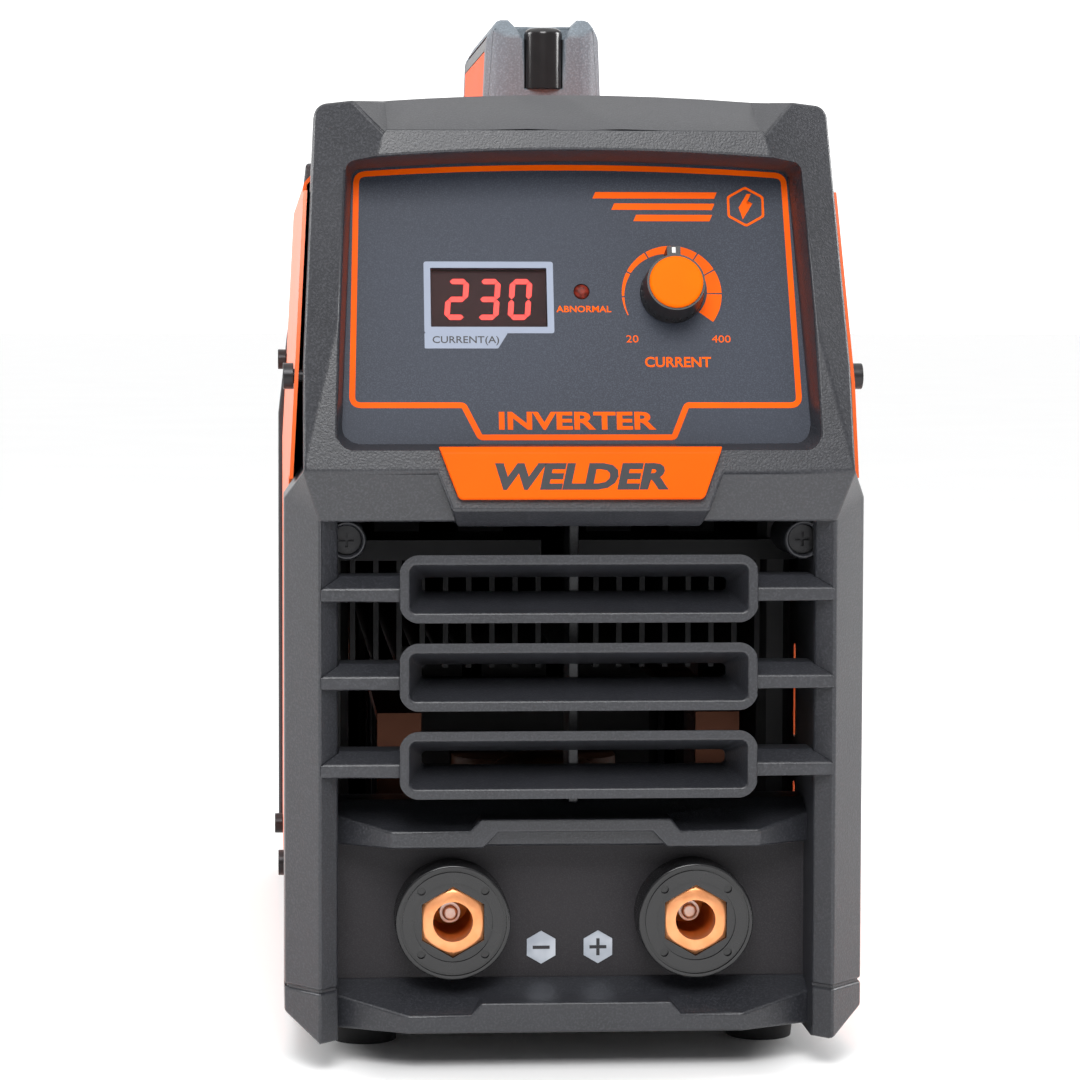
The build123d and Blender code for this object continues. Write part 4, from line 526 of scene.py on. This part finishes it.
def panel_border():
    """Line round the panel with a dip at the bottom. The arch's height is its top less the rise times the
    square of u over the half width."""
    top = np.linspace(ARCH_HALF, -ARCH_HALF, 15)
    arch = np.column_stack((top, ARCH_TOP - (top / ARCH_HALF) ** 2 * ARCH_RISE))
    foot = [(-72.2, -37.7), (-36.4, -37.7), (-31.2, -48.4), (31.2, -48.4), (35.6, -37.7), (72.2, -37.7)]
    corners = np.concatenate((arch, foot))
    radius = np.full(len(corners), DIP_RADIUS)
    radius[[0, len(arch) - 1, len(arch), -1]] = OUTER_RADIUS
    line = soft_corners(corners, radius)
    return [band(inwards(line, -BORDER_HALF), inwards(line, BORDER_HALF), INK_LOW, INK_HIGH)]


make("panel_border_print", panel_border(), PANEL_FACE, ORANGE_PRINT)

low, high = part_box("display_window")
WINDOW_U = (low.x / MM, high.x / MM)
middle = np.array((low + high) / 2)
WINDOW_V = float((middle - PANEL_FACE.origin) @ PANEL_FACE.up / MM)
WINDOW_HALF = 10.0


def display_surround():
    """Grey frame round the window, with a tab at its lower left."""
    left, right = WINDOW_U[0] - 0.1, WINDOW_U[1] + 0.1
    foot, head = WINDOW_V - WINDOW_HALF, WINDOW_V + WINDOW_HALF
    rim = 2.15
    frame_outer = soft_corners([(right + rim, head + rim), (left - rim, head + rim),
                                (left - rim, foot - rim), (right + rim, foot - rim)], 0.9)
    frame_inner = soft_corners([(right, head), (left, head), (left, foot), (right, foot)], 0.3)
    tab_foot = foot - 7.3
    tab = soft_corners([(left + 24.8, foot - rim + 0.02), (left - rim, foot - rim + 0.02),
                        (left - rim, tab_foot), (left + 21.6, tab_foot)], 0.35)
    return [band(frame_outer, frame_inner, INK_LOW, INK_HIGH), plate(tab, INK_LOW, INK_HIGH)]


make("display_surround_print", display_surround(), PANEL_FACE, GREY_PRINT)
make("display_caption_print", [
    lettering("CURRENT(A)", 3.3, (-35.3, WINDOW_V - 14.7), INK_HIGH, 2 * INK_HIGH, 1.14, weight=0.03),
], PANEL_FACE, DARK_PRINT)

DIGIT_HEIGHT, DIGIT_WIDTH, STROKE = 13.9, 7.3, 1.75
DIGIT_SLANT, DIGIT_PITCH = 0.085, 10.3
SEGMENTS = {  # place of each stroke's ends, in digit widths and half heights
    "a": ((0, 1), (1, 1)), "b": ((1, 1), (1, 0)), "c": ((1, 0), (1, -1)), "d": ((0, -1), (1, -1)),
    "e": ((0, 0), (0, -1)), "f": ((0, 1), (0, 0)), "g": ((0, 0), (1, 0)),
}
STROKES = {"2": "abged", "3": "abgcd", "0": "abcdef"}


def stroke(start, end):
    """Six-sided bar between two points: its sides lie half a stroke aside of their line, and stop short of
    the ends by 0.56 of a stroke, so that the ends are points."""
    start, end = np.array(start, float), np.array(end, float)
    along = (end - start) / np.linalg.norm(end - start)
    aside = np.array((-along[1], along[0])) * STROKE / 2
    shy = along * STROKE * 0.56
    return np.array([start + along * 0.12, start + shy - aside, end - shy - aside,
                     end - along * 0.12, end - shy + aside, start + shy + aside])


def digits(number, low, high):
    """The lit bars of a row of seven-bar digits. Each point leans by the slant times its height."""
    bars = []
    for place, figure in enumerate(number):
        left = sum(WINDOW_U) / 2 + (place - 1) * DIGIT_PITCH - DIGIT_WIDTH / 2
        for name, ends in SEGMENTS.items():
            if name in STROKES[figure]:
                points = stroke(*[(x * (DIGIT_WIDTH - STROKE), y * (DIGIT_HEIGHT - STROKE) / 2)
                                  for x, y in ends])
                points[:, 0] += left + STROKE / 2 + points[:, 1] * DIGIT_SLANT
                points[:, 1] += WINDOW_V
                bars.append(plate(points, low, high))
    return bars


MODULE_FACE_MM = -2.3
make("lit_digit_bars", digits("230", MODULE_FACE_MM, MODULE_FACE_MM + 0.12), PANEL_FACE, DIGIT)

DIAL_RADIUS, DIAL_THIN, DIAL_THICK = 16.3, 0.25, 5.6
DIAL_CUTS = np.array((207.0, 184.0, 153.0, 121.0, 88.0, 57.0, 30.0, 0.0, -36.0))
DIAL_HALF_GAP = 0.9


def dial():
    """Scale round the knob, cut into sections at the given degrees. Its width grows in step with the
    angle, from thin at the first cut to thick at the last."""
    widths = np.interp(DIAL_CUTS, (DIAL_CUTS[-1], DIAL_CUTS[0]), (DIAL_THICK, DIAL_THIN))
    last = len(DIAL_CUTS) - 2
    parts = []
    for k in range(last + 1):
        start = DIAL_CUTS[k] - (DIAL_HALF_GAP if k > 0 else 0.0)
        end = DIAL_CUTS[k + 1] + (DIAL_HALF_GAP if k < last else 0.0)
        points, faces = crescent(DIAL_RADIUS, start, end, widths[k], widths[k + 1], INK_LOW, INK_HIGH)
        parts.append((points + (KNOB_U, 0.0, 0.0), faces))
    return parts


make("dial_scale_print", dial(), PANEL_FACE, ORANGE_PRINT)
make("dial_figures_print", [
    lettering("20", 3.5, (18.7, -15.4), INK_LOW, INK_HIGH, 1.2),
    lettering("400", 3.5, (47.6, -15.4), INK_LOW, INK_HIGH, 1.2),
    lettering("CURRENT", 4.7, (33.3, -23.2), INK_LOW, INK_HIGH, 1.02, weight=0.1),
    lettering("ABNORMAL", 3.0, (3.2, -5.3), INK_LOW, INK_HIGH, 1.10, weight=0.05),
], PANEL_FACE, ORANGE_PRINT)
make("panel_name_print", [
    lettering("INVERTER", 8.0, (0.2, -42.9), INK_LOW, INK_HIGH, 1.42, weight=0.24),
], PANEL_FACE, ORANGE_PRINT)

BOLT_UPPER = np.array([(0.6, 5.0), (-2.6, -0.4), (2.6, 1.2), (0.3, 1.2), (2.2, 5.0)])
BOLT_LOWER = np.array([(-2.6, -0.4), (-1.2, -5.0), (2.6, 1.2)])


def bolt_parts(at, size, low, high):
    """A plain arc symbol of two plates, each its points times the size, moved to a place."""
    return [plate(limb * size + at, low, high) for limb in (BOLT_UPPER, BOLT_LOWER)]


def emblem():
    """Hexagon outline round the arc symbol, its corners 60 degrees apart from 30 on, and slanting bars."""
    centre = np.array((57.3, 29.9))
    angles = np.radians(np.arange(6) * 60 + 30)
    hexagon = np.column_stack((np.cos(angles), np.sin(angles)))
    outer = soft_corners(hexagon * 7.0 + centre, 0.8)
    inner = soft_corners(hexagon * 6.1 + centre, 0.7)
    parts = [band(outer, inner, INK_LOW, INK_HIGH)] + bolt_parts(centre, 0.88, INK_LOW, INK_HIGH)
    lean = 2.2
    for row, length in enumerate((40.0, 33.0, 25.0)):
        foot = 32.6 - row * 3.9
        right = 47.0 - row * 0.9
        bar = [(right - length, foot), (right, foot), (right + lean * 0.45, foot + 2.2),
               (right - length + lean * 0.45, foot + 2.2)]
        parts.append(plate(bar, INK_LOW, INK_HIGH))
    return parts


make("panel_emblem_print", emblem(), PANEL_FACE, ORANGE_PRINT)

make("badge_word_print", [
    lettering("WELDER", 11.0, (0.0, 7.1), INK_LOW, INK_HIGH, 1.28, weight=0.5, slant=0.22),
], badge_face(), DARK_PRINT)

# ---------------------------------------------------------------- knob pointer and polarity marks
POINTER_MM = 8.8   # height of the skirt's pointer block above the panel
pointer = [(KNOB_U - 0.6, 11.0), (KNOB_U + 0.6, 11.0), (KNOB_U + 0.6, 12.9), (KNOB_U - 0.6, 12.9)]
make("knob_pointer_mark", [plate(pointer, POINTER_MM + INK_LOW, POINTER_MM + INK_HIGH)],
     PANEL_FACE, WHITE_PRINT, body="current_knob")

low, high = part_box("polarity_labels")
LABEL_FACE = Face((0.0, low.y, (low.z + high.z) / 2), (0, -1, 0))
label_half = (high.z - low.z) / 2 / MM
LEFT_LABEL_U = low.x / MM + label_half * cos(radians(30))
RIGHT_LABEL_U = high.x / MM - label_half * cos(radians(30))


def bar_outline(u, v, width, height):
    """Rectangle about (u, v): half the width and half the height to each side."""
    return [(u - width / 2, v - height / 2), (u + width / 2, v - height / 2),
            (u + width / 2, v + height / 2), (u - width / 2, v + height / 2)]


make("polarity_marks_print", [
    plate(bar_outline(LEFT_LABEL_U, 0, 5.6, 1.1), INK_LOW, INK_HIGH),
    plate(bar_outline(RIGHT_LABEL_U, 0, 5.6, 1.1), INK_LOW, INK_HIGH),
    plate(bar_outline(RIGHT_LABEL_U, 1.7, 1.1, 2.25), INK_LOW, INK_HIGH),
    plate(bar_outline(RIGHT_LABEL_U, -1.7, 1.1, 2.25), INK_LOW, INK_HIGH),
], LABEL_FACE, DARK_PRINT)

# ---------------------------------------------------------------- floor, lights and camera
floor_mesh = bpy.data.meshes.new("floor")
FLOOR_REACH = 30.0
corners = [(-FLOOR_REACH, -FLOOR_REACH, 0), (FLOOR_REACH, -FLOOR_REACH, 0),
           (FLOOR_REACH, FLOOR_REACH, 0), (-FLOOR_REACH, FLOOR_REACH, 0)]
floor_mesh.from_pydata(corners, [], [(0, 1, 2, 3)])
floor_mesh.materials.append(FLOOR)
floor = bpy.data.objects.new("floor", floor_mesh)
bpy.context.collection.objects.link(floor)

world = bpy.data.worlds.new("studio")
world.use_nodes = True
world.node_tree.nodes.clear()
sky = Wire(world.node_tree)
DIM, BRIGHT = 0.26, 1.5
bearing = sky.node("TexCoord", out="Generated")
behind = sky.ramp(sky.node("SeparateXYZ", {0: bearing}, out="Y"), 0.6, 0.95)
above = sky.ramp(sky.node("SeparateXYZ", {0: bearing}, out="Z"), 0.45, 0.85)
glow = sky.math("MAXIMUM", behind, above) * (BRIGHT - DIM) + DIM
backdrop = sky.node("Background", {"Color": (1.0, 1.0, 1.0, 1.0), "Strength": glow})
sky.node("OutputWorld", {"Surface": backdrop})
bpy.context.scene.world = world


def softbox(name, place, aim, size, power):
    """Square area light at a place, facing another."""
    data = bpy.data.lights.new(name, "AREA")
    data.shape = "SQUARE"
    data.size = size
    data.energy = power
    light = bpy.data.objects.new(name, data)
    light.location = place
    light.rotation_mode = "QUATERNION"
    light.rotation_quaternion = (Vector(aim) - Vector(place)).to_track_quat("-Z", "Y")
    bpy.context.collection.objects.link(light)


softbox("front_softbox", (-0.1, -1.12, 1.02), (0.0, -0.2, 0.25), 0.6, 12.0)
softbox("left_softbox", (-1.05, 0.08, 0.7), (0.0, -0.1, 0.27), 0.45, 6.5)
softbox("right_softbox", (1.05, 0.08, 0.62), (0.0, -0.1, 0.27), 0.4, 7.5)

camera_data = bpy.data.cameras.new("camera")
camera_data.sensor_width = 36.0
camera_data.lens = 109.23
camera_data.shift_x = 0.0926
camera_data.shift_y = -0.0648
camera_data.clip_end = 60.0
camera = bpy.data.objects.new("camera", camera_data)
CAMERA_BACK = 1.037   # metres in front of the vent
CAMERA_YAW, CAMERA_PITCH, CAMERA_ROLL = radians(3.10), radians(2.84), radians(0.08)
turn = (Matrix.Rotation(-CAMERA_YAW, 4, "Z") @ Matrix.Rotation(pi / 2 - CAMERA_PITCH, 4, "X")
        @ Matrix.Rotation(CAMERA_ROLL, 4, "Z"))
camera_y = cad_front("louvre_grille") - CAMERA_BACK
camera.matrix_world = Matrix.Translation((-0.1008, camera_y, 0.246)) @ turn
bpy.context.collection.objects.link(camera)
bpy.context.scene.camera = camera
bpy.context.scene.view_settings.view_transform = "Standard"
